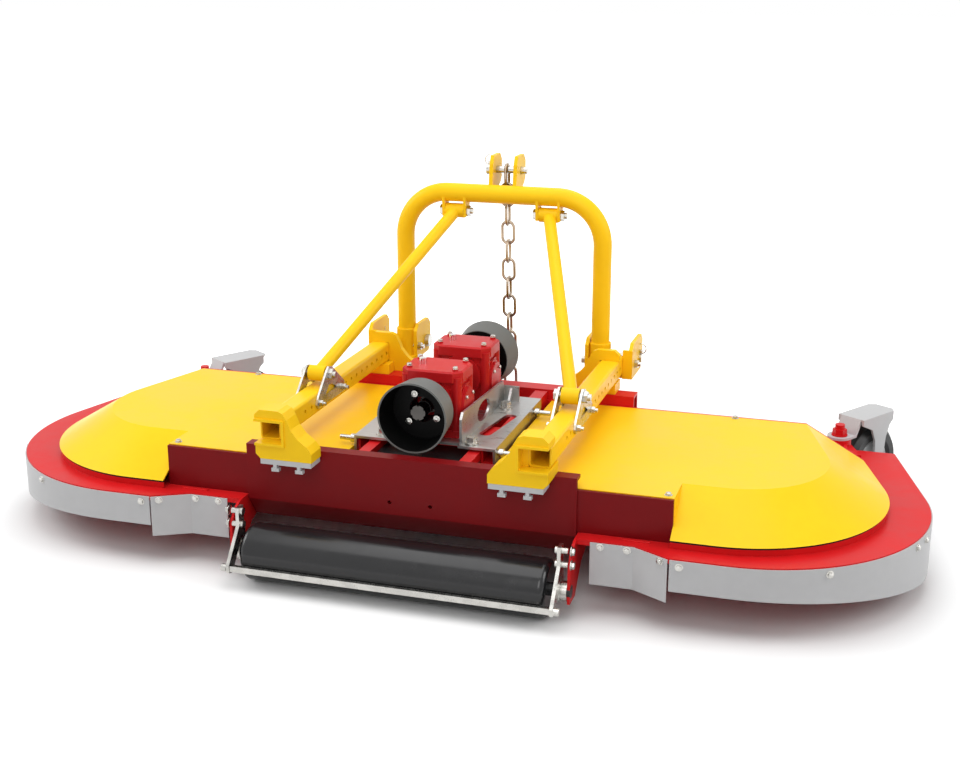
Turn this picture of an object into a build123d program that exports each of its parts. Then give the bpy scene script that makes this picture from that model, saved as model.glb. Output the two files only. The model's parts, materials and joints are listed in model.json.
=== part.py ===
from build123d import *
import math
import os

# Rotary mower with three rotors under one deck, carried on a three-point hitch.
# Millimetres. +X across the machine, +Y towards the hitch, +Z up.
# The origin is the tip of the drive stub at the roller side, on the drive axis.

# Levels, as heights above the ground
deck_height = 171.0
cover_lift = 19.0
cover_foot_height = deck_height + cover_lift
plate_top_height = 268.0
raised_step = 29.0
raised_top_height = plate_top_height + raised_step
blade_height = 78.0
skirt_foot_height = 46.0
skirt_front_foot_height = 98.0
panel_foot_height = 71.0

# Stations, measured from the face of the front plate towards the hitch
stub_station = 76.0
rotor_station = 322.0
drive_middle_station = 327.0
rear_wall_station = 601.0
deck_rear_station = 730.0
deck_corner_x = 1035.0
rear_beam_depth = 48.0

# Deck and its rim
deck_thickness = 5.0
rim_depth = 12.0
rim_thickness = 4.0
rotor_spacing = 725.0
deck_end_radius = 403.0
panel_inner_x = 430.0
panel_bend_x = 525.0
panel_outer_x = 605.0
panel_inner_station = -38.0
panel_thickness = 3.0
skirt_thickness = 3.0
skirt_gap = 4.0

# Front and rear cross beams
front_plate_half = 600.0
plate_thickness = 8.0
raised_half = 391.0
raised_forward = 7.0
raised_flange = 32.0
raised_thickness = 6.0
nose_height = 118.0
nose_back = 34.0
plate_hole_height = 192.0
flap_depth = 14.0
flap_thickness = 5.0

# Belt covers
cover_centre_x = 690.0
cover_centre_station = 314.0
cover_foot_radius = 346.0
cover_top_radius = 210.0
cover_corner_x = 965.0
cover_top_corner_x = 822.0
cover_inner_x = 178.0
cover_wall = 3.0
cover_rise = 2.0
seal_inset = 3.0
seal_wall = 3.0
upstand_height = 14.0

# Roller, its side plates and scraper
roller_station = -79.0
roller_radius = 66.0
roller_half = 355.0
roller_wall = 6.0
roller_axle_radius = 15.0
side_plate_x = 394.0
side_plate_thickness = 6.0
side_plate_front_station = -92.0
side_plate_back_station = 52.0
side_plate_foot_height = 40.0
arm_x = 376.0
arm_thickness = 8.0
arm_width = 26.0
scraper_station = -150.0
scraper_height = 49.0
scraper_section = 14.0
running_clearance = 0.08
seat = 0.3

# Drive line
guard_radius = 82.0
guard_back_radius = 74.0
guard_wall = 4.0
guard_front_station = 33.0
guard_depth = 75.0
stub_radius = 17.4
spline_depth = 2.2
spline_width = 4.0
groove_station = 38.0
groove_width = 8.0
stub_length = 76.0
shaft_radius = 22.0
gearbox_half_width = 74.0
gearbox_length = 112.0
gearbox_spacing = 222.0

# Cradle of bent plate under the gearboxes, and its slide rails
cradle_web_x = 82.0
cradle_thickness = 6.0
cradle_drop = 3.0
cradle_flange_height = raised_top_height - cradle_drop
cradle_web_rise = 78.0
cradle_top_height = cradle_flange_height + cradle_web_rise
cradle_bolt_x = 108.0
cradle_bolt_inset = 26.0
cradle_tab_inset = 46.0
cradle_tab_height = 46.0
gusset_length = 34.0
cradle_half_width = 166.0
cradle_front_station = 112.0
cradle_rear_station = 517.0
rail_x = 150.0
rail_width = 32.0
rail_height = 36.0
rail_wall = 5.0
rail_front_station = 125.0
rail_bar_width = 27.0
rail_bar_height = 20.0
rail_bar_rear_station = 300.0
belt_plate_drop = 21.0
belt_plate_height = raised_top_height - belt_plate_drop
belt_plate_half = 104.0

# Drive axis and gearboxes, carried by the cradle
gearbox_foot_height = cradle_flange_height + cradle_thickness
drive_rise = 82.0
drive_height = gearbox_foot_height + drive_rise
gearbox_rise = 76.0
gearbox_top_height = drive_height + gearbox_rise

# Hitch
beam_x = 315.0
beam_section = 50.0
beam_wall = 4.0
beam_foot_height = raised_top_height + 26.0
beam_front_station = -32.0
hole_pitch = 35.5
hole_first_station = 105.0
hole_count = 17
clamp_inner_x = 205.0
clamp_foot_height = raised_top_height - 12.0
clamp_back = 27.0
clamp_front_depth = 28.0
clamp_near_station = -60.0
clamp_rear_depth = 17.0
jaw_height = 12.0
arch_radius = 24.15
arch_wall = 4.0
arch_leg_x = 270.0
arch_station = 747.0
arch_bar_height = 773.0
arch_bend_radius = 120.0
link_plate_inner_x = 239.0
link_plate_outer_x = 361.0
link_plate_thickness = 10.0
link_web_offset = 34.0
link_inner_front_station = 724.0
link_outer_front_station = 700.0
link_rear_station = 835.0
link_top_height = beam_foot_height + 85.0
link_corner = 17.0
link_bolt_station = 735.0
link_bolt_radius = 6.0
link_sill = 8.0
link_collar_wall = 4.0
link_collar_height = beam_foot_height + 72.0
link_pin_radius = 11.0
link_pin_station = 800.0
link_pin_height = beam_foot_height + beam_section / 2
top_pin_radius = 9.5
top_pin_station = 789.0
top_pin_height = 832.0
top_clevis_height = top_pin_height + 39.0
top_clevis_x = 32.5
top_clevis_thickness = 10.0
brace_radius = 16.0
brace_wall = 3.0
brace_barrel_radius = 19.0
brace_top_x = 127.0
brace_top_height = arch_bar_height - 47.0
brace_foot_station = 242.0
brace_foot_height = beam_foot_height + 79.0
brace_barrel_length = 42.0
brace_top_barrel_length = 50.0
bracket_near_hole = 2
bracket_far_hole = 6

# Chain between the arch and the rear beam
chain_wire = 8.0
chain_link_length = 67.5
chain_link_width = 40.0
chain_gap = 0.3
chain_count = 13
chain_bolt_radius = 6.0
chain_lean = 51.0
chain_bend_steps = 5

# Anchor of the chain
anchor_gap = 16.0
anchor_thickness = 8.0

# Castors
castor_x = 897.0
castor_station = 748.0
castor_trail = 124.0
castor_wheel_radius = 100.0
castor_wheel_width = 50.0
castor_turn = 32.5
castor_axle_radius = 8.0
castor_pin_radius = 12.0
castor_boss_radius = 30.0
castor_boss_top_height = 194.7
castor_crown_height = 239.0
castor_fork_reach = 189.0
castor_plate_thickness = 6.0
castor_wheel_gap = 8.0
castor_pin_top_height = 230.0

# Rotors
side_blade_radius = 385.0
centre_blade_radius = 332.0
blade_width = 78.0
blade_thickness = 8.0
disc_radius = 170.0
disc_height = 104.0
spindle_radius = 17.5
housing_radius = 62.0
housing_foot_height = 118.0

ground = -drive_height


def level(height):
    return ground + height


def station(distance):
    return distance - stub_station


def block(x0, x1, y0, y1, z0, z1):
    size = (x1 - x0, y1 - y0, z1 - z0)
    return Pos((x0 + x1) / 2, (y0 + y1) / 2, (z0 + z1) / 2) * Box(*size)


def rod(start, end, radius):
    axis = Vector(*end) - Vector(*start)
    plane = Plane(origin=start, z_dir=axis)
    return extrude(plane * Circle(radius), axis.length)


def tube(start, end, radius, bore):
    return rod(start, end, radius) - rod(start, end, bore)


def plate_x(x, thickness, outline):
    """Plate across X, from an outline of (y, z) points, centred on x."""
    face = Plane.YZ * make_face(Polyline(*outline, close=True))
    return Pos(x - thickness / 2, 0, 0) * extrude(face, thickness)


def mirrored(shape):
    return mirror(shape, about=Plane.YZ)


def joined(shapes):
    total = shapes[0]
    for shape in shapes[1:]:
        total = total + shape
    return total


def deck_face(inset=0.0):
    """Plan of the deck, with round front corners and cut-off rear corners."""
    centre = Vector(rotor_spacing, station(rotor_station))
    radius = deck_end_radius
    corner = Vector(deck_corner_x, station(deck_rear_station))
    reach = corner - centre
    turn = math.degrees(math.acos(radius / reach.length))
    bearing = math.degrees(math.atan2(reach.Y, reach.X))
    end_angle = bearing - turn
    tangent = centre + Vector(radius, 0).rotate(Axis.Z, end_angle)
    front = centre.Y - radius
    inner = side_plate_x + side_plate_thickness
    bend = station(panel_inner_station)
    back = station(plate_thickness)
    start = Vector(centre.X, front)
    lead = Polyline((0, back), (inner, back), (inner, bend), (panel_bend_x, bend),
                    (panel_outer_x, front), start)
    arc = CenterArc(centre, radius, -90, 90 + end_angle)
    tail = Polyline(tangent, corner, (0, corner.Y), (0, back))
    half = make_face(Wire([*lead.edges(), arc.edge(), *tail.edges()]))
    whole = half + mirrored(half)
    if inset > 0:
        whole = offset(whole, amount=-inset, kind=Kind.INTERSECTION)
    return whole


def cover_end_angle():
    """Bearing at which the round end of a cover runs into its straight rear side."""
    reach = Vector(cover_corner_x - cover_centre_x, rear_wall_station - cover_centre_station)
    turn = math.degrees(math.acos(cover_foot_radius / reach.length))
    return math.degrees(math.atan2(reach.Y, reach.X)) - turn


def cover_plan(radius):
    """Plan of a belt cover's end, run on past its inner and rear planes."""
    centre = Vector(cover_centre_x, station(cover_centre_station))
    angle = cover_end_angle()
    tangent = centre + Vector(radius, 0).rotate(Axis.Z, angle)
    along = Vector(0, 1).rotate(Axis.Z, angle)
    spread = cover_foot_radius
    far = tangent + along * (2 * spread)
    inner = centre.X - 2 * spread
    lead = Polyline((inner, far.Y), (inner, centre.Y - radius), (centre.X, centre.Y - radius))
    arc = CenterArc(centre, radius, -90, 90 + angle)
    tail = Polyline(tangent, far, (inner, far.Y))
    return make_face(Wire([*lead.edges(), arc.edge(), *tail.edges()]))


def cover_body(inset):
    """Solid form of a belt cover, shrunk by inset on its outer sides."""
    foot = level(cover_foot_height)
    top = level(plate_top_height) + cover_rise
    slope = (cover_foot_radius - cover_top_radius) / (top - foot)
    taper = math.degrees(math.atan(slope))
    radius = cover_foot_radius - inset * math.hypot(1, slope)
    rise = top - inset - foot
    end = extrude(Pos(0, 0, foot) * cover_plan(radius), rise, taper=taper)
    seam = front_plate_half - inset
    rear = station(rear_wall_station)
    end = end & block(seam, cover_corner_x + 100, station(-200), rear, foot - 1, top + 1)
    front = station(plate_thickness) + inset
    low = level(deck_height) + seat - inset
    inner = block(cover_inner_x + inset, seam, front, rear, low, top - inset)
    return end + inner


def belt_cover():
    return cover_body(0) - cover_body(cover_wall)


def cover_strip(inset, low, high):
    """Strips that follow the round ends of both covers, between two heights."""
    walls = []
    for depth in (inset, inset + seal_wall):
        plan = cover_plan(cover_foot_radius - depth)
        walls.append(extrude(Pos(0, 0, level(low)) * plan, high - low))
    keep = block(front_plate_half, cover_corner_x + 100, station(-200), station(rear_wall_station),
                 level(low), level(high))
    strip = (walls[0] - walls[1]) & keep
    return [strip, mirrored(strip)]


def cover_seals():
    """Rubber strips between the upstands of the deck and the covers."""
    return Compound(children=cover_strip(seal_inset, deck_height + upstand_height, cover_foot_height))


def deck():
    """Deck plate with its turned-down rim and the upstands under the covers."""
    top = level(deck_height)
    plate = extrude(Pos(0, 0, top - deck_thickness) * deck_face(), deck_thickness)
    rim_outer = extrude(Pos(0, 0, top - rim_depth) * deck_face(), rim_depth - 1)
    rim_inner = extrude(Pos(0, 0, top - rim_depth - 1) * deck_face(rim_thickness), rim_depth + 1)
    upstands = cover_strip(seal_inset, deck_height - 1, deck_height + upstand_height)
    body = joined([plate, rim_outer - rim_inner, *upstands])
    for x in (-rotor_spacing, 0, rotor_spacing):
        hole = Pos(x, station(rotor_station), top - deck_thickness / 2) * Cylinder(36, 40)
        body = body - hole
    return body


def ring_band(outer, inner, low, high):
    return extrude(Pos(0, 0, low) * (outer - inner), high - low)


def end_skirt():
    """Skirt round one end, with a foot that rises towards the front."""
    outer = deck_face_grown(skirt_thickness)
    inner = deck_face_grown(0.0)
    low = level(skirt_foot_height)
    high = level(deck_height) - 3
    band = ring_band(outer, inner, low, high)
    rear = station(deck_rear_station) + 2 * skirt_thickness
    front = station(rotor_station) - deck_end_radius - 2 * skirt_thickness
    reach = rotor_spacing + deck_end_radius + 2 * skirt_thickness
    keep = block(panel_outer_x + skirt_gap, reach, front, rear, low, high)
    band = band & keep
    ramp_end = station(250)
    ramp = plate_x(reach / 2, reach, [(front, low - 1), (ramp_end, low - 1),
                                      (ramp_end, low), (front, level(skirt_front_foot_height))])
    return band - ramp


def deck_face_grown(amount):
    if amount == 0:
        return deck_face()
    return offset(deck_face(), amount=amount, kind=Kind.INTERSECTION)


def front_panel():
    """Tall panel in two flat faces beside the roller."""
    outer = station(rotor_station) - deck_end_radius
    bend = station(panel_inner_station)
    gap = skirt_thickness
    line = [(panel_inner_x, bend), (panel_bend_x, bend), (panel_outer_x, outer)]
    back = [(x, y - seat) for x, y in line]
    slant = math.atan2(bend - outer, panel_outer_x - panel_bend_x)
    drop = panel_thickness * math.tan(slant / 2)
    front = [(panel_outer_x, outer - seat - panel_thickness / math.cos(slant)),
             (panel_bend_x - drop, bend - seat - panel_thickness),
             (panel_inner_x, bend - seat - panel_thickness)]
    face = make_face(Polyline(*back, *front, close=True))
    low = level(panel_foot_height)
    high = level(deck_height) - gap
    return extrude(Pos(0, 0, low) * face, high - low)


def rear_skirt():
    """Straight skirt along the rear edge of the deck."""
    y = station(deck_rear_station)
    half = panel_outer_x
    return block(-half, half, y + seat, y + seat + skirt_thickness,
                 level(skirt_foot_height), level(deck_height) - 3)


def front_beam():
    """Front plate on the deck, with the raised flanged part over the roller."""
    deck_top = level(deck_height)
    face = station(0)
    wing = block(-front_plate_half, front_plate_half, face, face + plate_thickness,
                 deck_top, level(plate_top_height))
    front = face - raised_forward
    top = level(raised_top_height)
    nose = level(nose_height)
    t = plate_thickness
    profile = [(front, top), (front + raised_flange, top), (front + raised_flange, top - t),
               (front + t, top - t), (front + t, deck_top - 4), (front + nose_back + t, nose),
               (front + nose_back, nose - 4), (front, deck_top - 8)]
    raised = plate_x(0, 2 * raised_half, profile)
    body = wing + raised
    z = level(plate_hole_height)
    for x in (-41, 56):
        hole = rod((x, front - 5, z), (x, face + plate_thickness + 5, z), 5)
        body = body - hole
    return body


def roller_flap():
    """Rubber strip under the front beam, behind the roller."""
    y = station(0) - raised_forward + nose_back + plate_thickness + seat
    top = level(nose_height) + 6
    return block(-raised_half + 4, raised_half - 4, y, y + flap_thickness, top - flap_depth, top)


def rear_beam():
    """Rear wall behind the covers, sloped at its ends, and the raised box beam."""
    deck_top = level(deck_height)
    wall = station(rear_wall_station)
    top = level(plate_top_height) + cover_rise
    foot = level(cover_foot_height)
    outline = [(-cover_corner_x, deck_top), (cover_corner_x, deck_top), (cover_corner_x, foot),
               (cover_top_corner_x, top), (-cover_top_corner_x, top), (-cover_corner_x, foot)]
    face = Plane.XZ * make_face(Polyline(*outline, close=True))
    body = Pos(0, wall + raised_thickness, 0) * extrude(face, raised_thickness)
    box_top = level(raised_top_height)
    outer = block(-raised_half, raised_half, wall + raised_thickness,
                  wall + raised_thickness + rear_beam_depth, deck_top, box_top)
    t = raised_thickness
    inner = block(-raised_half - 1, raised_half + 1, wall + 2 * t,
                  wall + rear_beam_depth, deck_top + t, box_top - t)
    return body + (outer - inner)


def slide_rails():
    """Square tubes along the machine that carry the cradle, with a flat bar beside each."""
    top = level(cradle_flange_height)
    front = station(rail_front_station)
    rear = station(rear_wall_station)
    half = rail_width / 2
    t = rail_wall
    under = level(raised_top_height) - plate_thickness - seat
    bar_front = station(0) - raised_forward + plate_thickness + seat
    solids = []
    for sign in (-1, 1):
        x = sign * rail_x
        outer = block(x - half, x + half, front, rear, top - rail_height, top)
        inner = block(x - half + t, x + half - t, front - 1, rear + 1, top - rail_height + t, top - t)
        legs = []
        for y in (front + 30, rear - 60):
            legs.append(block(x - half, x + half, y, y + 40, level(deck_height), top - rail_height + 1))
        edge = sign * (rail_x - half)
        low, high = sorted((edge + sign * 0.5, edge - sign * rail_bar_width))
        bar = block(low, high, bar_front, station(rail_bar_rear_station), under - rail_bar_height, under)
        solids.append(joined([outer - inner, *legs, bar]))
    return Compound(children=solids)


def roller_plate():
    """Side plate that carries the roller, with a rounded upper front corner."""
    front = station(side_plate_front_station)
    back = station(side_plate_back_station)
    edge = station(plate_thickness)
    top = level(deck_height) - seat
    under = level(deck_height) - rim_depth
    foot = level(side_plate_foot_height)
    corner = 64.0
    outline = Polyline((back, under), (edge - seat, under), (edge - seat, top), (front + corner, top))
    arc = CenterArc((front + corner, top - corner), corner, 90, 90)
    rest = Polyline((front, top - corner), (front, foot), (front + 48, foot),
                    (edge, foot + 60), (back, foot + 74), (back, under))
    face = Plane.YZ * make_face(Wire([*outline.edges(), arc.edge(), *rest.edges()]))
    plate = Pos(side_plate_x, 0, 0) * extrude(face, side_plate_thickness)
    y = station(roller_station)
    z = level(roller_radius)
    hole = rod((side_plate_x - 5, y, z), (side_plate_x + 20, y, z), roller_axle_radius + running_clearance)
    return plate - hole


def roller_arm():
    """Bent flat bar from the side plate down to the end of the scraper."""
    back = station(side_plate_front_station) + 6
    top = level(deck_height) + 2
    knee = level(124)
    low_y = station(scraper_station)
    low_z = level(scraper_height)
    w = arm_width
    outline = [(back - w / 2, top), (back + w / 2, top), (back + w / 2, knee - 4),
               (low_y + 15, low_z - 6), (low_y + 4, low_z - 14), (low_y - 8, low_z - 10),
               (low_y - 10, low_z + 6), (back - w / 2, knee + 6)]
    arm = plate_x(arm_x, arm_thickness, outline)
    y = station(roller_station)
    z = level(roller_radius)
    lug = rod((arm_x - arm_thickness / 2, y, z), (arm_x + arm_thickness / 2, y, z), 26)
    stem = plate_x(arm_x, arm_thickness, [(y - 13, z), (y + 13, z), (y + 9, knee), (y - 9, knee)])
    hole = rod((arm_x - 10, y, z), (arm_x + 20, y, z), roller_axle_radius + running_clearance)
    spacer = tube((arm_x + arm_thickness / 2, y, z), (side_plate_x - seat, y, z), 22,
                  roller_axle_radius + running_clearance)
    bolts = []
    for height in (162, 130):
        z1 = level(height)
        bolts.append(rod((arm_x, back, z1), (side_plate_x - seat, back, z1), 7))
        bolts.append(rod((arm_x - 10, back, z1), (arm_x, back, z1), 9))
    return joined([arm, lug, stem, spacer, *bolts]) - hole


def roller():
    y = station(roller_station)
    z = level(roller_radius)
    half = roller_half
    r = roller_radius
    bulge = 14.0
    outline = Polyline((0, -half), (r - bulge, -half))
    low = CenterArc((r - bulge, -half + bulge), bulge, -90, 90)
    side = Line((r, -half + bulge), (r, half - bulge))
    high = CenterArc((r - bulge, half - bulge), bulge, 0, 90)
    close = Polyline((r - bulge, half), (0, half), (0, -half))
    edges = [*outline.edges(), low.edge(), side.edge(), high.edge(), *close.edges()]
    drum = revolve(make_face(Wire(edges)), Axis.Y)
    drum = Pos(0, y, z) * Rot(0, 0, 90) * drum
    reach = side_plate_x + side_plate_thickness
    axle = rod((-reach, y, z), (reach, y, z), roller_axle_radius)
    return drum + axle


def scraper():
    """Bright bar in front of the roller with a bolt head at each end."""
    y = station(scraper_station)
    z = level(scraper_height)
    half = scraper_section / 2
    bar_half = arm_x - arm_thickness / 2 - seat
    bar = block(-bar_half, bar_half, y - half, y + half / 2, z - half, z + half)
    return bar


def scraper_bolts():
    y = station(scraper_station) - 2
    z = level(scraper_height)
    solids = []
    for sign in (-1, 1):
        x = arm_x + arm_thickness / 2 + seat
        solids.append(rod((sign * x, y, z), (sign * (x + 12), y, z), 9))
    return Compound(children=solids)


def gearbox_centre(index):
    return station(drive_middle_station) + (index - 0.5) * gearbox_spacing


def gearbox(index):
    """Cast bevel gearbox: ribbed block, corner bosses, bearing caps and a top lid."""
    y = gearbox_centre(index)
    half = gearbox_length / 2
    w = gearbox_half_width
    foot = level(gearbox_foot_height)
    top = level(gearbox_top_height)
    middle = (foot + top) / 2 - 10
    body = block(-w + 10, w - 10, y - half + 8, y + half - 8, foot, top - 22)
    lid = extrude(Pos(0, y, top - 26) * cut_rectangle(w, half, 20), 26)
    lid = chamfer(lid.faces().sort_by(Axis.Z)[-1].edges(), 4)
    base = extrude(Pos(0, y, foot) * RectangleRounded(2 * w, gearbox_length, 12), 16)
    pieces = [body, lid, base]
    for sx in (-1, 1):
        for sy in (-1, 1):
            pieces.append(rod((sx * (w - 14), y + sy * (half - 14), foot + 2),
                              (sx * (w - 14), y + sy * (half - 14), top - 14), 12))
            pieces.append(rod((sx * (w - 18), y + sy * (half - 18), top - 2),
                              (sx * (w - 18), y + sy * (half - 18), top + 4), 7))
    for sx in (-1, 1):
        pieces.append(rod((0, y, middle), (sx * (w - 4), y, middle), 46))
        pieces.append(rod((0, y, middle), (sx * (w + 3), y, middle), 40))
        low, high = sorted((sx * 40, sx * (w - 6)))
        for lift in (-44, 0, 44):
            pieces.append(block(low, high, y - half + 6, y + half - 6, middle - 3 + lift, middle + 3 + lift))
    pieces.append(rod((0, y - half, 0), (0, y + half, 0), 52))
    whole = joined(pieces)
    bore = rod((0, y - half - 2, 0), (0, y + half + 2, 0), shaft_radius + running_clearance)
    return whole - bore


def cut_rectangle(half_x, half_y, cut):
    """Rectangle with its four corners cut off."""
    quarter = [(half_x, half_y - cut), (half_x - cut, half_y)]
    points = [*quarter]
    points.extend((-x, y) for x, y in reversed(quarter))
    points.extend((-x, -y) for x, y in quarter)
    points.extend((x, -y) for x, y in reversed(quarter))
    return make_face(Polyline(*points, close=True))


def breather():
    """Bright vent plugs on the lids of both gearboxes."""
    solids = []
    top = level(gearbox_top_height)
    for index in (0, 1):
        y = gearbox_centre(index)
        solids.append(rod((-36, y, top + seat), (-36, y, top + 14), 9))
    return Compound(children=solids)


def drive_guard(toward):
    """Open guard round one drive stub; toward is -1 for the roller side."""
    middle = station(drive_middle_station)
    mouth = (station(drive_middle_station) - station(guard_front_station)) * toward
    back = mouth - toward * guard_depth
    r0 = guard_radius
    r1 = guard_back_radius
    t = guard_wall
    outline = [(r0, mouth), (r1, back), (shaft_radius + 8, back), (shaft_radius + 8, back + toward * t),
               (r1 - t, back + toward * t), (r0 - t, mouth)]
    face = make_face(Polyline(*outline, close=True))
    cone = revolve(face, Axis.Y)
    cone = Pos(0, middle, 0) * cone
    neck_end = gearbox_centre(0 if toward < 0 else 1) + toward * gearbox_length / 2
    neck = tube((0, neck_end + toward * seat, 0), (0, middle + back + toward, 0), 50, shaft_radius + 8)
    bolts = []
    for angle in (112, 224, 336):
        x = 41 * math.cos(math.radians(angle))
        z = 41 * math.sin(math.radians(angle))
        y = middle + back + toward * t
        bolts.append(rod((x, y - toward, z), (x, y + toward * 7, z), 7))
    return joined([cone, neck, *bolts])


def splined(start, end):
    """Drive stub with six splines and a locking groove."""
    shape = rod(start, end, stub_radius)
    reach = end[1] - start[1]
    side = 1 if reach > 0 else -1
    for index in range(6):
        cut = Pos(0, 0, stub_radius) * Box(spline_width, abs(reach) + 1, 2 * spline_depth)
        cut = Pos(0, (start[1] + end[1]) / 2, 0) * Rot(0, index * 60, 0) * cut
        shape = shape - cut
    groove_y = end[1] - side * groove_station
    half = groove_width / 2
    groove = tube((0, groove_y - half, 0), (0, groove_y + half, 0), stub_radius + 2, stub_radius - 3)
    return shape - groove


def drive_shaft():
    middle = station(drive_middle_station)
    reach = middle
    inner = reach - stub_length
    core = rod((0, middle - inner, 0), (0, middle + inner, 0), shaft_radius)
    front = splined((0, stub_length, 0), (0, 0, 0))
    rear = splined((0, 2 * middle - stub_length, 0), (0, 2 * middle, 0))
    clear = gearbox_spacing / 2 - gearbox_length / 2 - 8
    collar = rod((0, middle - clear, 0), (0, middle + clear, 0), 34)
    flange = rod((0, middle - 9, 0), (0, middle + 9, 0), 46)
    return joined([core, front, rear, collar, flange])


def cradle():
    """Bent plates that hold both gearboxes and slide on the rails."""
    foot = level(cradle_flange_height)
    top = level(cradle_top_height)
    front = station(cradle_front_station)
    rear = station(cradle_rear_station)
    t = cradle_thickness
    solids = []
    for sign in (-1, 1):
        x = sign * cradle_web_x
        outline = [(front + 14, foot), (rear - 40, foot), (rear - 40, foot + 42), (rear - 56, top - 17),
                   (front + 28, top), (front + 14, top - 14)]
        web = plate_x(x + sign * t / 2, t, outline)
        window = Plane(origin=(x, station(296), (foot + top) / 2 - 3), x_dir=(0, 1, 0), z_dir=(1, 0, 0))
        web = web - extrude(window * Ellipse(50, 24), 20, both=True)
        flange_low, flange_high = sorted((x, sign * cradle_half_width))
        flange = block(flange_low, flange_high, front, rear, foot, foot + t)
        lip_x = sign * cradle_half_width
        lip_low, lip_high = sorted((lip_x, lip_x + sign * t))
        lip = block(lip_low, lip_high, front, rear, foot - 30, foot + t)
        slanted = Pos(sign * 128, station(285), foot + t / 2)
        slot = slanted * Rot(0, 0, -sign * 8) * extrude(SlotOverall(170, 30, rotation=90), 20, both=True)
        flange = flange - slot
        tab_low, tab_high = sorted((x, x + sign * 44))
        tab_face = rear - cradle_tab_inset
        tab = block(tab_low, tab_high, tab_face, tab_face + t, foot, foot + cradle_tab_height)
        corner = [(tab_face + 1, foot + 1), (tab_face + 1, foot + cradle_tab_height - 4),
                  (tab_face - gusset_length, foot + 1)]
        gusset = plate_x(x + sign * 24, t, corner)
        solids.append(joined([web, flange, lip, tab, gusset]))
    shelf = block(-cradle_web_x, cradle_web_x, front + 16, rear - 42, foot, foot + t)
    return joined([*solids, shelf])


def cradle_screws():
    """Bolts of the cradle and the long belt-tension screws at its ends."""
    solids = []
    foot = level(cradle_flange_height) + cradle_thickness + seat
    rear_bolt = cradle_rear_station - cradle_tab_inset - gusset_length - 20
    for sign in (-1, 1):
        for y in (cradle_front_station + cradle_bolt_inset, rear_bolt):
            x = sign * cradle_bolt_x
            solids.append(rod((x, station(y), foot), (x, station(y), foot + 3), 17))
            nut = Pos(x, station(y), foot + 3) * extrude(RegularPolygon(13, 6), 13)
            solids[-1] = solids[-1] + nut
        lip = sign * (cradle_half_width + cradle_thickness + seat)
        z = level(cradle_flange_height) - 8
        for y in (cradle_front_station + 20, cradle_rear_station - 70):
            reach = lip + sign * 42
            screw = rod((lip, station(y), z), (reach, station(y), z), 6)
            head = rod((lip + sign * 4, station(y), z), (lip + sign * 14, station(y), z), 10)
            solids.append(screw + head)
    return Compound(children=solids)


def belt_plate():
    """Dark plate of the belt housing below the roller-side guard."""
    top = level(belt_plate_height)
    front = station(plate_thickness) + 26
    rear = station(cradle_front_station) + 60
    half = belt_plate_half
    outline = [(-half, front), (half - 20, front), (half, front + 46), (half, rear), (-half, rear)]
    face = make_face(Polyline(*outline, close=True))
    plate = extrude(Pos(0, 0, top - 5) * face, 5)
    legs = []
    for x in (10 - half, half - 10):
        legs.append(block(x - 6, x + 6, rear - 40, rear - 8, level(deck_height), top - 4))
    bolt_y = front + 39
    head = rod((0, bolt_y, top - 1), (0, bolt_y, top + 6), 9)
    return joined([plate, *legs, head])


def hole_place(index):
    """Station of one hole in the row along a hitch beam."""
    return station(hole_first_station) + index * hole_pitch


def hitch_beam():
    """Square tube of the hitch with a row of height holes in its sides."""
    half = beam_section / 2
    foot = level(beam_foot_height)
    front = station(beam_front_station)
    rear = station(arch_station - link_web_offset)
    tube_face = RectangleRounded(beam_section, beam_section, 7)
    bore_face = RectangleRounded(beam_section - 2 * beam_wall, beam_section - 2 * beam_wall, 4)
    plane = Plane(origin=(beam_x, front, foot + half), x_dir=(1, 0, 0), z_dir=(0, 1, 0))
    body = extrude(plane * tube_face, rear - front) - extrude(plane * bore_face, rear - front)
    for index in range(hole_count):
        y = hole_place(index)
        body = body - rod((beam_x - half - 5, y, foot + half), (beam_x + half + 5, y, foot + half), 5)
    return body


def clamp_profile():
    """Outline in X and Z of a clamp's hooked plate round the hitch beam."""
    foot = level(clamp_foot_height)
    low = level(beam_foot_height) - seat
    top = level(beam_foot_height) + beam_section + seat
    half = beam_section / 2
    left = clamp_inner_x
    right = beam_x + half + 1
    rim = top + clamp_back
    return [(left, foot), (right - 11, foot), (right, foot + 11), (right, low), (beam_x - half - seat, low),
            (beam_x - half - seat, top), (right, top), (right, rim - 12), (right - 13, rim),
            (beam_x - 31, rim), (beam_x - 43, rim - 5), (beam_x - 52, rim - 20), (beam_x - 61, top - 15),
            (beam_x - 77, top - 35), (beam_x - 99, top - 52), (left, foot + 21)]


def clamp(front_side):
    """Hooked plate that seats a hitch beam on a cross beam."""
    half = beam_section / 2
    low = level(beam_foot_height) - seat
    top = level(beam_foot_height) + beam_section + seat
    right = beam_x + half + 1
    if front_side:
        near = station(clamp_near_station)
        far = station(0) - raised_forward - seat
        base_near = far - 2
        base_far = station(0) - raised_forward + raised_flange
    else:
        near = station(rear_wall_station) + raised_thickness + rear_beam_depth + seat
        far = near + clamp_rear_depth
        base_near = station(rear_wall_station) + raised_thickness + 6
        base_far = near + 2
    face = Plane.XZ * make_face(Polyline(*clamp_profile(), close=True))
    hook = Pos(0, far, 0) * extrude(face, far - near)
    base = block(beam_x - half - 15, right, base_near, base_far, level(raised_top_height) + seat, low)
    whole = hook + base
    if front_side:
        web = beam_x - half - 15
        whole = whole - block(web, right + 1, near - 1, near + clamp_front_depth, low, top)
        rim = block(web - 6, right, near - 5, near + 1, low - 6, top + 6)
        whole = whole + (rim - block(web, right + 1, near - 6, near + 2, low, top))
    return whole


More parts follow.
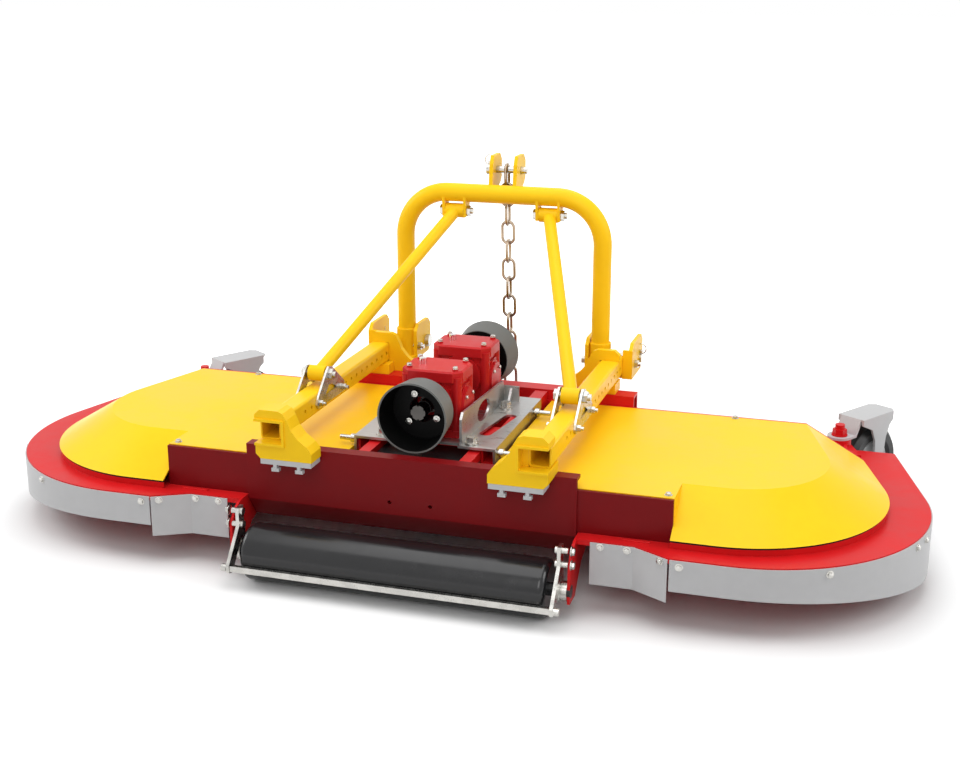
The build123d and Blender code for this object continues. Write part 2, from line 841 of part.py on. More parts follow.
def clamp_jaws():
    """Grey toothed plates under the four clamps of the hitch."""
    solids = []
    top = level(clamp_foot_height) - seat
    rear_near = station(rear_wall_station) + raised_thickness + rear_beam_depth + seat
    front_far = station(0) - raised_forward - 1
    places = ((station(clamp_near_station), front_far), (rear_near, rear_near + clamp_rear_depth))
    for sign in (-1, 1):
        for near, far in places:
            x0, x1 = sorted((sign * (clamp_inner_x + 2), sign * (beam_x + 15)))
            jaw = block(x0, x1, near, far, top - jaw_height, top)
            for x in (sign * (beam_x - 78), sign * (beam_x - 20)):
                jaw = jaw + block(x - 4, x + 4, near, near + 12, top - 22, top - jaw_height + 1)
                jaw = jaw + block(x - 9, x + 9, near, near + 12, top - 28, top - 20)
            solids.append(jaw)
    return Compound(children=solids)


def arch():
    """Bent tube with its brace lugs and the top-link clevis."""
    y = station(arch_station)
    bar = level(arch_bar_height)
    foot = level(beam_foot_height)
    x = arch_leg_x
    route = FilletPolyline((-x, y, foot), (-x, y, bar), (x, y, bar), (x, y, foot),
                           radius=arch_bend_radius)
    start = Plane(origin=(-x, y, foot), z_dir=(0, 0, 1))
    pieces = [sweep(start * Circle(arch_radius), path=route)]
    lug_y = y - 3
    lug_z = level(brace_top_height)
    for sign in (-1, 1):
        for shift in (-1, 1):
            lug_x = sign * brace_top_x + shift * (brace_top_barrel_length / 2 + 4)
            outline = [(lug_y - 17, lug_z - 14), (lug_y + 12, lug_z - 14), (lug_y + 24, bar), (lug_y - 20, bar)]
            pieces.append(plate_x(lug_x, 7, outline))
    top = level(top_clevis_height)
    pin_y = station(top_pin_station)
    pin_z = level(top_pin_height)
    reach = top_clevis_x + top_clevis_thickness
    for sign in (-1, 1):
        outline = [(y - 6, bar), (y + 6, bar + 77), (y + 17, top), (pin_y + 30, top), (pin_y + 46, top - 17),
                   (pin_y + 46, bar + 36), (pin_y + 34, bar + 22), (y + 20, bar - 6)]
        clevis = plate_x(sign * top_clevis_x, top_clevis_thickness, outline)
        pieces.append(clevis - rod((-reach, pin_y, pin_z), (reach, pin_y, pin_z), top_pin_radius + seat))
    whole = joined(pieces)
    for sign in (-1, 1):
        span = brace_top_barrel_length / 2 + 20
        hole = rod((sign * brace_top_x - span, lug_y, lug_z), (sign * brace_top_x + span, lug_y, lug_z), 8.3)
        whole = whole - hole
    return whole - link_bolt_hole(1) - link_bolt_hole(-1)


def link_bolt_hole(side):
    """Cutter for the bolt that crosses one foot of the arch and its plates."""
    y = station(link_bolt_station)
    z = level(beam_foot_height) + beam_section / 2
    inner = side * (link_plate_inner_x - link_plate_thickness)
    outer = side * (link_plate_outer_x + link_plate_thickness)
    return rod((inner, y, z), (outer, y, z), link_bolt_radius + seat)


def link_bracket():
    """Two upright plates and a collar that carry a leg of the arch and a lower-link pin."""
    sill_top = level(beam_foot_height) - seat
    foot = sill_top - link_sill
    top = level(link_top_height)
    far = station(link_rear_station)
    c = link_corner
    pieces = []
    places = ((link_plate_inner_x, link_inner_front_station), (link_plate_outer_x, link_outer_front_station))
    for x, front in places:
        near = station(front)
        outline = [(near, foot), (far - c, foot), (far, foot + c), (far, top - c), (far - c, top),
                   (near + c, top), (near, top - c)]
        pieces.append(plate_x(x, link_plate_thickness, outline))
    y = station(arch_station)
    near = station(link_outer_front_station)
    web = block(beam_x + beam_section / 2 + seat, link_plate_outer_x, near, near + 8, foot, top - c)
    sill = block(link_plate_inner_x, link_plate_outer_x, near + 6, y + 31, foot, sill_top)
    pieces.extend([web, sill])
    bore = arch_radius + seat
    pieces.append(tube((arch_leg_x, y, sill_top - 1), (arch_leg_x, y, level(link_collar_height)),
                       bore + link_collar_wall, bore))
    whole = joined(pieces)
    pin = rod((link_plate_inner_x - 10, station(link_pin_station), level(link_pin_height)),
              (link_plate_outer_x + 10, station(link_pin_station), level(link_pin_height)), link_pin_radius + seat)
    leg = rod((arch_leg_x, y, sill_top), (arch_leg_x, y, top + 1), bore)
    return whole - pin - leg - link_bolt_hole(1)


def hitch_pins():
    """Lower-link pins, top-link pin and the bolt that holds the foot of the chain."""
    solids = []
    y = station(link_pin_station)
    z = level(link_pin_height)
    half = link_plate_thickness / 2
    for sign in (-1, 1):
        inner = sign * (link_plate_inner_x - half - 12)
        outer = sign * (link_plate_outer_x + half + 6)
        pin = rod((inner, y, z), (outer, y, z), link_pin_radius)
        head = rod((inner, y, z), (inner + sign * (12 - seat), y, z), 17)
        solids.append(pin + head)
    ty = station(top_pin_station)
    tz = level(top_pin_height)
    reach = top_clevis_x + top_clevis_thickness / 2
    pin = rod((-reach - 16, ty, tz), (reach + 18, ty, tz), top_pin_radius)
    head = rod((-reach - 16, ty, tz), (-reach - seat, ty, tz), 15)
    solids.append(pin + head)
    solids.append(chain_bolt(chain_lower(), anchor_gap / 2 + anchor_thickness))
    return Compound(children=solids)


def chain_bolt(place, reach):
    """Bolt across one end of the chain, with a head outside each ear."""
    y = place.Y
    z = place.Z
    shank = rod((-reach - 8, y, z), (reach + 8, y, z), chain_bolt_radius)
    left = rod((-reach - 8, y, z), (-reach - seat, y, z), 10)
    right = rod((reach + seat, y, z), (reach + 8, y, z), 10)
    return joined([shank, left, right])


def brace():
    """Round stay from a lug of the arch down to the hitch beam."""
    top = Vector(brace_top_x, station(arch_station) - 3, level(brace_top_height))
    foot = Vector(beam_x, station(brace_foot_station), level(brace_foot_height))
    body = rod(top, foot, brace_radius)
    ends = ((top, brace_top_barrel_length / 2), (foot, brace_barrel_length / 2))
    for centre, half in ends:
        body = body + rod(centre - Vector(half, 0, 0), centre + Vector(half, 0, 0), brace_barrel_radius)
    for centre, half in ends:
        body = body - rod(centre - Vector(half + 9, 0, 0), centre + Vector(half + 9, 0, 0), 8.3)
    return body


def brace_brackets():
    """Bright side plates with cut-outs that pin each brace to its hitch beam."""
    solids = []
    half = beam_section / 2
    y = station(brace_foot_station)
    z = level(brace_foot_height)
    hole_z = level(beam_foot_height) + half
    near = hole_place(bracket_near_hole)
    far = hole_place(bracket_far_hole)
    for sign in (-1, 1):
        for shift in (-1, 1):
            x = sign * beam_x + shift * (half + seat + 2.5)
            outline = [(y - 16, z + 12), (y - 4, z + 20), (y + 14, z + 16), (far + 12, hole_z + 14),
                       (far + 14, hole_z - 4), (far + 6, hole_z - 12), (near - 6, hole_z - 12),
                       (near - 15, hole_z), (near - 10, hole_z + 11)]
            plate = plate_x(x, 5, outline)
            cut = plate_x(x, 9, [(y - 6, z - 24), (y + 12, z - 26), (y + 40, hole_z + 12), (y - 34, hole_z + 8)])
            plate = plate - cut
            plate = plate - rod((x - 9, y, z), (x + 9, y, z), 8.3)
            for place in (near, far):
                plate = plate - rod((x - 9, place, hole_z), (x + 9, place, hole_z), 5.0)
            solids.append(plate)
    return Compound(children=solids)


def hitch_bolts():
    """Bolts through the brace ends, the brackets and the feet of the legs."""
    solids = []
    half = beam_section / 2
    hole_z = level(beam_foot_height) + half
    y = station(brace_foot_station)
    for sign in (-1, 1):
        reach = half + seat + 5 + seat
        x = sign * beam_x
        solids.append(bolt(x, y, level(brace_foot_height), reach, 8))
        solids.append(bolt(x, hole_place(bracket_near_hole), hole_z, reach, 4.7))
        solids.append(bolt(x, hole_place(bracket_far_hole), hole_z, reach, 4.7))
        plates = (link_plate_inner_x + link_plate_outer_x) / 2
        plate_reach = (link_plate_outer_x - link_plate_inner_x + link_plate_thickness) / 2 + seat
        solids.append(bolt(sign * plates, station(link_bolt_station), hole_z, plate_reach, link_bolt_radius))
        lug_reach = brace_top_barrel_length / 2 + 7.5 + seat
        top_y = station(arch_station) - 3
        solids.append(bolt(sign * brace_top_x, top_y, level(brace_top_height), lug_reach, 8))
    return Compound(children=solids)


def bolt(x, y, z, reach, radius):
    """Bolt along X with a head on one side and a nut on the other."""
    plane = Plane(origin=(x - reach - 9, y, z), z_dir=(1, 0, 0))
    head = extrude(plane * RegularPolygon(radius * 1.75, 6), 9)
    nut = Pos(2 * reach + 9, 0, 0) * head
    shank = rod((x - reach - 1, y, z), (x + reach + 16, y, z), radius)
    return joined([head, nut, shank])


def chain_link():
    """One long link of eight-sided wire, standing along Z in the YZ plane."""
    bend = (chain_link_width - chain_wire) / 2
    straight = (chain_link_length - chain_wire) / 2 - bend
    step = math.pi / chain_bend_steps
    crown = math.sin(step * (chain_bend_steps // 2))
    arc = []
    for index in range(chain_bend_steps + 1):
        angle = step * index
        arc.append((bend * math.cos(angle), straight + bend * math.sin(angle) / crown))
    points = [*arc, *[(-y, -z) for y, z in arc]]
    middle = make_face(Polyline(*points, close=True))
    half = chain_wire / 2
    ring = offset(middle, amount=half, kind=Kind.INTERSECTION)
    ring = ring - offset(middle, amount=-half, kind=Kind.INTERSECTION)
    link = extrude(Pos(0, 0, -half) * ring, chain_wire)
    edges = link.edges().group_by(Axis.Z)
    link = chamfer([*edges[0], *edges[-1]], chain_wire / (2 + math.sqrt(2)))
    return Plane.YZ * link


def chain_pitch():
    return chain_link_length - 2 * chain_wire - chain_gap


def chain_span():
    """Distance from the top-link pin to the bolt at the foot of the chain."""
    return chain_pitch() * chain_count - top_pin_radius - chain_bolt_radius - chain_gap


def chain_upper():
    return Vector(0, station(top_pin_station), level(top_pin_height))


def chain_lower():
    upper = chain_upper()
    drop = math.sqrt(chain_span() ** 2 - chain_lean ** 2)
    return Vector(0, upper.Y + chain_lean, upper.Z - drop)


def chain():
    """Steel chain that hangs from the top-link pin to its anchor on the rear beam."""
    upper = chain_upper()
    lower = chain_lower()
    lean = math.degrees(math.atan2(lower.Y - upper.Y, upper.Z - lower.Z))
    first = chain_link_length / 2 - chain_wire - top_pin_radius - chain_gap
    solids = []
    for index in range(chain_count):
        link = Rot(0, 0, 90 * (index % 2)) * chain_link()
        link = Pos(0, 0, -(first + chain_pitch() * index)) * link
        solids.append(Pos(*upper) * Rot(lean, 0, 0) * link)
    return Compound(children=solids)


def chain_anchor():
    """Twin-plate bracket behind the rear beam that holds the foot of the chain."""
    lower = chain_lower()
    deck_top = level(deck_height)
    wall = station(rear_wall_station) + raised_thickness + rear_beam_depth
    edge = station(deck_rear_station)
    pieces = []
    for sign in (-1, 1):
        x = sign * (anchor_gap / 2 + anchor_thickness / 2)
        outline = [(wall, deck_top), (edge, deck_top), (lower.Y + 16, lower.Z - 14),
                   (lower.Y + 18, lower.Z + 6), (lower.Y + 8, lower.Z + 17), (lower.Y - 12, lower.Z + 17),
                   (wall, level(raised_top_height) - 14)]
        pieces.append(plate_x(x, anchor_thickness, outline))
    pieces.append(block(-anchor_gap / 2 - 1, anchor_gap / 2 + 1, wall, wall + 8, deck_top, deck_top + 80))
    whole = joined(pieces)
    reach = anchor_gap / 2 + anchor_thickness + 1
    return whole - rod((-reach, lower.Y, lower.Z), (reach, lower.Y, lower.Z), chain_bolt_radius + seat)


def castor_bracket():
    """Red plate on the rear corner of the deck with the boss, pin and nut of the castor."""
    x = castor_x
    y = station(castor_station)
    foot = level(deck_height) + seat
    high = level(castor_boss_top_height)
    edge = station(deck_rear_station)
    r = castor_boss_radius
    boss = rod((x, y, foot), (x, y, high), r)
    plate_face = make_face(Polyline((x - 60, edge - 62), (x + 60, edge - 62), (x + r, y), (x - r, y), close=True))
    pieces = [boss, extrude(Pos(0, 0, foot) * plate_face, 8)]
    for shift in (-18, 18):
        pieces.append(plate_x(x + shift, 8, [(edge - 56, foot + 6), (y - 20, foot + 6), (y - 20, high - 8)]))
    pieces.append(rod((x, y, high - 1), (x, y, level(castor_pin_top_height)), castor_pin_radius))
    washer = high + seat + castor_plate_thickness + seat
    pieces.append(rod((x, y, washer), (x, y, washer + 3), castor_pin_radius + 8))
    pieces.append(Pos(x, y, washer + 3) * extrude(RegularPolygon(18, 6), 14))
    return joined(pieces)


def castor_place(shape, side):
    """Turn a castor piece, built trailing along +Y at the origin, to its parked place."""
    x = castor_x * side
    y = station(castor_station)
    return Pos(x, y, 0) * Rot(0, 0, -castor_turn) * shape


def castor_fork(side):
    """Folded-plate fork: flat round the pin, a rise over the wheel and two legs to the axle."""
    low = level(castor_boss_top_height) + seat
    crown = level(castor_crown_height)
    t = castor_plate_thickness
    half = castor_wheel_width / 2 + castor_wheel_gap
    axle_z = level(castor_wheel_radius)
    trail = castor_trail
    r = castor_boss_radius
    far = castor_fork_reach
    pieces = [rod((0, 0, low), (0, 0, low + t), r), block(-r, r, 0, r + 1, low, low + t)]
    pieces.append(plate_x(0, 2 * r, [(r - 6, low), (r + 1, low), (r + 20, crown - t), (r + 26, crown - t),
                                     (r + 26, crown), (r + 16, crown), (r - 3, low + t), (r - 6, low + t)]))
    side_x = half + t
    crown_face = make_face(Polyline((-side_x, r + 16), (side_x, r + 16), (side_x, far - 14), (side_x - 14, far),
                                    (14 - side_x, far), (-side_x, far - 14), close=True))
    pieces.append(extrude(Pos(0, 0, crown - t) * crown_face, t))
    for sx in (-1, 1):
        outline = [(r + 16, crown), (far - 14, crown), (far - 14, crown - 22), (far - 28, crown - 34),
                   (trail + 24, crown - 66), (trail + 18, axle_z + 10), (trail + 12, axle_z - 16),
                   (trail, axle_z - 21), (trail - 12, axle_z - 16), (trail - 18, axle_z + 10),
                   (trail - 22, crown - 66), (trail - 38, crown - 34), (r + 16, crown - 16)]
        pieces.append(plate_x(sx * (half + t / 2), t, outline))
        pieces.append(rod((sx * (side_x - 1), trail, axle_z), (sx * (side_x + 9), trail, axle_z), 13))
    pieces.append(rod((-side_x, trail, axle_z), (side_x, trail, axle_z), castor_axle_radius))
    whole = joined(pieces)
    whole = whole - rod((0, 0, low - 1), (0, 0, low + t + 1), castor_pin_radius + running_clearance)
    return castor_place(whole, side)


def castor_wheel(side):
    """Solid tyre with cut shoulders and a dished hub."""
    z = level(castor_wheel_radius)
    half = castor_wheel_width / 2
    r = castor_wheel_radius
    bore = castor_axle_radius + running_clearance
    rim = [(half, bore), (half, 26), (half - 9, 32), (half - 9, r - 36), (half, r - 29), (half, r - 11),
           (half - 11, r)]
    outline = [*rim, *[(-x, y) for x, y in reversed(rim)]]
    wheel = revolve(make_face(Polyline(*outline, close=True)), Axis.X)
    return castor_place(Pos(0, castor_trail, z) * wheel, side)


def spindle_housing(x):
    """Bearing housing under the deck that carries a rotor shaft."""
    y = station(rotor_station)
    top = level(deck_height) - deck_thickness
    foot = level(housing_foot_height)
    flange = rod((x, y, top - 12), (x, y, top), housing_radius + 28)
    body = rod((x, y, foot), (x, y, top - 11), housing_radius)
    body = chamfer(body.faces().sort_by(Axis.Z)[0].edges(), 8)
    ribs = []
    for index in range(6):
        rib = Pos(housing_radius + 8, 0, top - 26) * Box(34, 8, 30)
        ribs.append(Pos(x, y, 0) * Rot(0, 0, 60 * index) * rib)
    whole = joined([flange, body, *ribs])
    return whole - rod((x, y, foot - 5), (x, y, top + 5), spindle_radius + running_clearance)


def rotor(x, radius, turn):
    """Shaft, dished disc and bar blade of one rotor."""
    y = station(rotor_station)
    top = level(deck_height) + 30
    disc = level(disc_height)
    low = level(blade_height)
    shaft = rod((0, 0, low + 2), (0, 0, top), spindle_radius)
    hub = rod((0, 0, disc), (0, 0, level(housing_foot_height) - 3), 44)
    outline = [(0, disc - 6), (disc_radius * 0.55, disc - 6), (disc_radius, disc + 6),
               (disc_radius, disc + 12), (disc_radius * 0.55, disc), (0, disc)]
    face = Plane.XZ * make_face(Polyline(*outline, close=True))
    dish = revolve(face, Axis.Z)
    bar = blade_bar(radius)
    pack = rod((0, 0, low), (0, 0, disc - 5), 52)
    cap = rod((0, 0, low - 14), (0, 0, low + 1), 16)
    whole = joined([shaft, hub, dish, pack, cap, bar])
    return Pos(x, y, 0) * Rot(0, 0, turn) * whole


def blade_bar(radius):
    """Flat bar blade with cut corners and lifted trailing wings."""
    low = level(blade_height)
    half = blade_width / 2
    nose = math.sqrt(radius * radius - half * half) - 2
    outline = [(-nose, -half), (nose - 24, -half), (nose, -half + 24), (nose, half), (-nose + 24, half),
               (-nose, half - 24)]
    face = make_face(Polyline(*outline, close=True))
    bar = extrude(Pos(0, 0, low) * face, blade_thickness)
    wing = block(nose - 110, nose, half - 8, half, low, low + 26)
    wing = chamfer(wing.edges().filter_by(Axis.Y).group_by(Axis.Z)[-1], 16)
    return joined([bar, wing, Rot(0, 0, 180) * wing])


def pieces():
    """Every sub-part by its name."""
    left = -rotor_spacing
    right = rotor_spacing
    made = {
        "deck": deck(),
        "front_beam": front_beam(),
        "rear_beam": rear_beam(),
        "slide_rails": slide_rails(),
        "roller_flap": roller_flap(),
        "rear_skirt": rear_skirt(),
        "roller": roller(),
        "scraper": scraper(),
        "scraper_bolts": scraper_bolts(),
        "gearbox_front": gearbox(0),
        "gearbox_rear": gearbox(1),
        "breathers": breather(),
        "guard_front": drive_guard(-1),
        "guard_rear": drive_guard(1),
        "drive_shaft": drive_shaft(),
        "cradle": cradle(),
        "cradle_screws": cradle_screws(),
        "belt_plate": belt_plate(),
        "clamp_jaws": clamp_jaws(),
        "arch": arch(),
        "hitch_pins": hitch_pins(),
        "hitch_bolts": hitch_bolts(),
        "brace_brackets": brace_brackets(),
        "chain": chain(),
        "chain_anchor": chain_anchor(),
        "cover_seals": cover_seals(),
        "rotor_left": rotor(left, side_blade_radius, -20),
        "rotor_centre": rotor(0, centre_blade_radius, 0),
        "rotor_right": rotor(right, side_blade_radius, 25),
        "spindle_left": spindle_housing(left),
        "spindle_centre": spindle_housing(0),
        "spindle_right": spindle_housing(right),
    }
    pairs = {
        "belt_cover": belt_cover(),
        "end_skirt": end_skirt(),
        "front_panel": front_panel(),
        "roller_plate": roller_plate(),
        "roller_arm": roller_arm(),
        "hitch_beam": hitch_beam(),
        "front_clamp": clamp(True),
        "rear_clamp": clamp(False),
        "link_bracket": link_bracket(),
        "brace": brace(),
        "castor_bracket": castor_bracket(),
    }
    for name, shape in pairs.items():
        made[name + "_right"] = shape
        made[name + "_left"] = mirrored(shape)
    for name, side in (("left", -1), ("right", 1)):
        made["castor_fork_" + name] = castor_fork(side)
        made["castor_wheel_" + name] = castor_wheel(side)
    return made


def main():
    os.makedirs("parts", exist_ok=True)
    for name, shape in pieces().items():
        export_step(shape, os.path.join("parts", name + ".step"))
        print(name, len(shape.solids()))


if __name__ == "__main__":
    main()
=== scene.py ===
"""Looks of a three-rotor mower: finishes for its CAD nodes, small fittings, camera and light."""

import json
import logging
import math
from dataclasses import dataclass, field
from enum import Enum
from typing import Iterable

import bpy
from mathutils import Matrix, Vector

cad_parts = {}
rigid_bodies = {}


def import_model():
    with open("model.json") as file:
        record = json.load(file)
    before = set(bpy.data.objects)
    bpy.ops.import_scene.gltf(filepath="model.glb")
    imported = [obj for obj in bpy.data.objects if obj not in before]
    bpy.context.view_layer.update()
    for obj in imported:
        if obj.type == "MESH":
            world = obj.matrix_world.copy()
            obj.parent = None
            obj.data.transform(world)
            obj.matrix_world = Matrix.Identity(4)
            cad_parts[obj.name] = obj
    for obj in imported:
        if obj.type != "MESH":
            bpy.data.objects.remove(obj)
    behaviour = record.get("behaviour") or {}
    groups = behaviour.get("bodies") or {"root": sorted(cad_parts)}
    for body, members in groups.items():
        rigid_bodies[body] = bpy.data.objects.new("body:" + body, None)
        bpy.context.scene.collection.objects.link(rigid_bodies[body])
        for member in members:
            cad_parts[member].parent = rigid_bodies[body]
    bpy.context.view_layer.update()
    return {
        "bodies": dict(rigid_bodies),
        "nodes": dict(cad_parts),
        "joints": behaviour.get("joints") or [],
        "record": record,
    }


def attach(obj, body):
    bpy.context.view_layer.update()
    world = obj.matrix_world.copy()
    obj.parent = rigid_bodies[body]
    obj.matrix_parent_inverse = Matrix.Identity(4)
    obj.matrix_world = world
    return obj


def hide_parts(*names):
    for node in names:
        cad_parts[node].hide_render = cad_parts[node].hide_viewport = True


log = logging.getLogger("mower")

Colour = tuple[float, float, float]
Spot = tuple[float, float, float]
Limits = tuple[float, float]

GROUND = -0.382
FRONT_PLATE = -0.076
UP = Vector((0.0, 0.0, 1.0))
BACK = Vector((0.0, 1.0, 0.0))
RIGHT = Vector((1.0, 0.0, 0.0))
WHITE: Colour = (1.0, 1.0, 1.0)


def level(height: float) -> float:
    """Z of a height above the ground, in metres."""
    return GROUND + height


def station(distance: float) -> float:
    """Y of a distance behind the front plate, in metres."""
    return distance + FRONT_PLATE


def rgba(colour: Colour) -> tuple[float, float, float, float]:
    """Add full alpha to a colour."""
    return (*colour, 1.0)


# Shared effects


class Effect(Enum):
    """Shader node groups that several finishes share."""

    EDGE_WEAR = "edge_wear"
    MOTTLE = "mottle"
    GRIME = "grime"
    GRAIN = "grain"


@dataclass
class Nodes:
    """Helper that lays out one node tree."""

    tree: bpy.types.NodeTree

    def add(self, kind: str, **values: object) -> bpy.types.Node:
        """Add a node and set its properties.

        Args:
            kind: Blender's identifier of the node.
            **values: its properties by name.

        Returns:
            The new node.
        """
        node = self.tree.nodes.new(kind)
        for name, value in values.items():
            setattr(node, name, value)
        return node

    def link(self, source: bpy.types.NodeSocket, target: bpy.types.NodeSocket) -> None:
        """Join two sockets."""
        self.tree.links.new(source, target)

    def feed(self, value: object, target: bpy.types.NodeSocket) -> None:
        """Link an input, or set its own value.

        Args:
            value: a socket, a number or a colour.
            target: the input.
        """
        if isinstance(value, bpy.types.NodeSocket):
            self.link(value, target)
        else:
            target.default_value = value

    def math(self, operation: str, a: object, b: object = None) -> bpy.types.NodeSocket:
        """Add a Math node.

        Args:
            operation: the operation's identifier.
            a: a socket or a number.
            b: a socket, a number or None.

        Returns:
            The node's output socket.
        """
        node = self.add("ShaderNodeMath", operation=operation)
        self.feed(a, node.inputs[0])
        if b is not None:
            self.feed(b, node.inputs[1])
        return node.outputs[0]

    def ramp(self, source: bpy.types.NodeSocket, low: float, high: float) -> bpy.types.NodeSocket:
        """Map a value between two limits to 0 and 1.

        Args:
            source: the value.
            low: the value that gives 0.
            high: the value that gives 1.

        Returns:
            The mapped value.
        """
        node = self.add("ShaderNodeMapRange", interpolation_type="SMOOTHSTEP")
        self.link(source, node.inputs["Value"])
        node.inputs["From Min"].default_value = low
        node.inputs["From Max"].default_value = high
        return node.outputs["Result"]

    def blend(self, factor: object, a: object, b: object) -> bpy.types.NodeSocket:
        """Mix two colours.

        Args:
            factor: a socket or a number.
            a: the colour, or socket, at 0.
            b: the colour, or socket, at 1.

        Returns:
            The mixed colour.
        """
        node = self.add("ShaderNodeMix", data_type="RGBA")
        for name, value in (("Factor_Float", factor), ("A_Color", a), ("B_Color", b)):
            self.feed(value, next(s for s in node.inputs if s.identifier == name))
        return next(s for s in node.outputs if s.identifier == "Result_Color")

    def noise(self, scale: object, detail: float,
              stretch: Spot = (1.0, 1.0, 1.0)) -> bpy.types.NodeSocket:
        """Add a noise texture on the piece's own coordinates.

        Args:
            scale: a number or a socket.
            detail: the noise's detail.
            stretch: scale along each axis.

        Returns:
            The noise's value.
        """
        where = self.add("ShaderNodeTexCoord")
        mapping = self.add("ShaderNodeMapping")
        mapping.inputs["Scale"].default_value = stretch
        texture = self.add("ShaderNodeTexNoise")
        texture.inputs["Detail"].default_value = detail
        self.link(where.outputs["Object"], mapping.inputs["Vector"])
        self.link(mapping.outputs["Vector"], texture.inputs["Vector"])
        self.feed(scale, texture.inputs["Scale"])
        return texture.outputs["Fac"]

    def effect(self, kind: Effect, **values: float) -> bpy.types.NodeSocket:
        """Place a shared effect.

        Args:
            kind: which effect.
            **values: its inputs by name.

        Returns:
            The effect's output socket.
        """
        group = self.add("ShaderNodeGroup")
        group.node_tree = bpy.data.node_groups[kind.value]
        for name, value in values.items():
            group.inputs[name].default_value = value
        return group.outputs[0]

    def seen(self) -> bpy.types.NodeSocket:
        """Tell the rays of the camera and of reflections from those that light the machine.

        Returns:
            A socket that is 1 for the camera and for reflections, and 0 otherwise.
        """
        rays = self.add("ShaderNodeLightPath")
        return self.math("MAXIMUM", rays.outputs["Is Camera Ray"], rays.outputs["Is Glossy Ray"])


def new_group(kind: Effect, inputs: Iterable[str],
              output: str) -> tuple[Nodes, bpy.types.Node, bpy.types.Node]:
    """Start a shader node group with float sockets.

    Args:
        kind: the effect that it makes.
        inputs: names of its inputs.
        output: name of its output.

    Returns:
        The node helper, the group's input node and its output node.
    """
    tree = bpy.data.node_groups.new(kind.value, "ShaderNodeTree")
    for name in inputs:
        tree.interface.new_socket(name=name, in_out="INPUT", socket_type="NodeSocketFloat")
    tree.interface.new_socket(name=output, in_out="OUTPUT", socket_type="NodeSocketFloat")
    nodes = Nodes(tree)
    return nodes, nodes.add("NodeGroupInput"), nodes.add("NodeGroupOutput")


@dataclass(frozen=True)
class EdgeWear:
    """Mask of the sharp outer edges, broken up by noise."""

    radius: float = 0.0022
    samples: int = 4
    sharp: Limits = (0.02, 0.16)
    detail: float = 6.0
    patches: Limits = (0.42, 0.62)

    def build(self) -> None:
        """Compare the rounded normal with the true one, and build the group."""
        nodes, source, result = new_group(Effect.EDGE_WEAR, ("Amount", "Scale"), "Mask")
        bevel = nodes.add("ShaderNodeBevel", samples=self.samples)
        bevel.inputs["Radius"].default_value = self.radius
        geometry = nodes.add("ShaderNodeNewGeometry")
        dot = nodes.add("ShaderNodeVectorMath", operation="DOT_PRODUCT")
        nodes.link(bevel.outputs["Normal"], dot.inputs[0])
        nodes.link(geometry.outputs["Normal"], dot.inputs[1])
        edge = nodes.ramp(nodes.math("SUBTRACT", 1.0, dot.outputs["Value"]), *self.sharp)
        broken = nodes.ramp(nodes.noise(source.outputs["Scale"], self.detail), *self.patches)
        worn = nodes.math("MULTIPLY", edge, broken)
        nodes.link(nodes.math("MULTIPLY", worn, source.outputs["Amount"]), result.inputs["Mask"])


@dataclass(frozen=True)
class Mottle:
    """Soft large and small unevenness between 0 and 1."""

    large_detail: float = 3.0
    large_share: float = 0.7
    fine_scale: float = 9.0
    fine_detail: float = 5.0
    fine_share: float = 0.3
    limits: Limits = (0.35, 0.65)

    def build(self) -> None:
        """Add a large and a fine noise, and build the group."""
        nodes, source, result = new_group(Effect.MOTTLE, ("Scale",), "Value")
        scale = source.outputs["Scale"]
        large = nodes.noise(scale, self.large_detail)
        fine = nodes.noise(nodes.math("MULTIPLY", scale, self.fine_scale), self.fine_detail)
        both = nodes.math("ADD", nodes.math("MULTIPLY", large, self.large_share),
                          nodes.math("MULTIPLY", fine, self.fine_share))
        nodes.link(nodes.ramp(both, *self.limits), result.inputs["Value"])


@dataclass(frozen=True)
class Grime:
    """Mask of dust that lies on upward faces and low on the machine."""

    upward: Limits = (0.2, 1.0)
    upward_share: float = 0.6
    depth: Limits = (0.2, 0.38)
    depth_share: float = 0.9
    detail: float = 7.0
    patches: Limits = (0.45, 0.75)

    def build(self) -> None:
        """Find upward and low places, break them up, and build the group."""
        nodes, source, result = new_group(Effect.GRIME, ("Amount", "Scale"), "Mask")
        where = nodes.add("ShaderNodeTexCoord")
        split = nodes.add("ShaderNodeSeparateXYZ")
        nodes.link(where.outputs["Normal"], split.inputs[0])
        up = nodes.ramp(split.outputs["Z"], *self.upward)
        patchy = nodes.ramp(nodes.noise(source.outputs["Scale"], self.detail), *self.patches)
        place = nodes.add("ShaderNodeSeparateXYZ")
        nodes.link(where.outputs["Object"], place.inputs[0])
        low = nodes.ramp(nodes.math("MULTIPLY", place.outputs["Z"], -1.0), *self.depth)
        spread = nodes.math("MAXIMUM", nodes.math("MULTIPLY", up, self.upward_share),
                            nodes.math("MULTIPLY", low, self.depth_share))
        dusty = nodes.math("MULTIPLY", spread, patchy)
        nodes.link(nodes.math("MULTIPLY", dusty, source.outputs["Amount"]), result.inputs["Mask"])


@dataclass(frozen=True)
class Grain:
    """Fine long scratches of rolled or brushed metal."""

    detail: float = 8.0
    stretch: Spot = (1.0, 14.0, 14.0)
    limits: Limits = (0.3, 0.7)

    def build(self) -> None:
        """Stretch a noise along X, and build the group."""
        nodes, source, result = new_group(Effect.GRAIN, ("Scale",), "Value")
        along = nodes.noise(source.outputs["Scale"], self.detail, self.stretch)
        nodes.link(nodes.ramp(along, *self.limits), result.inputs["Value"])


# Finishes


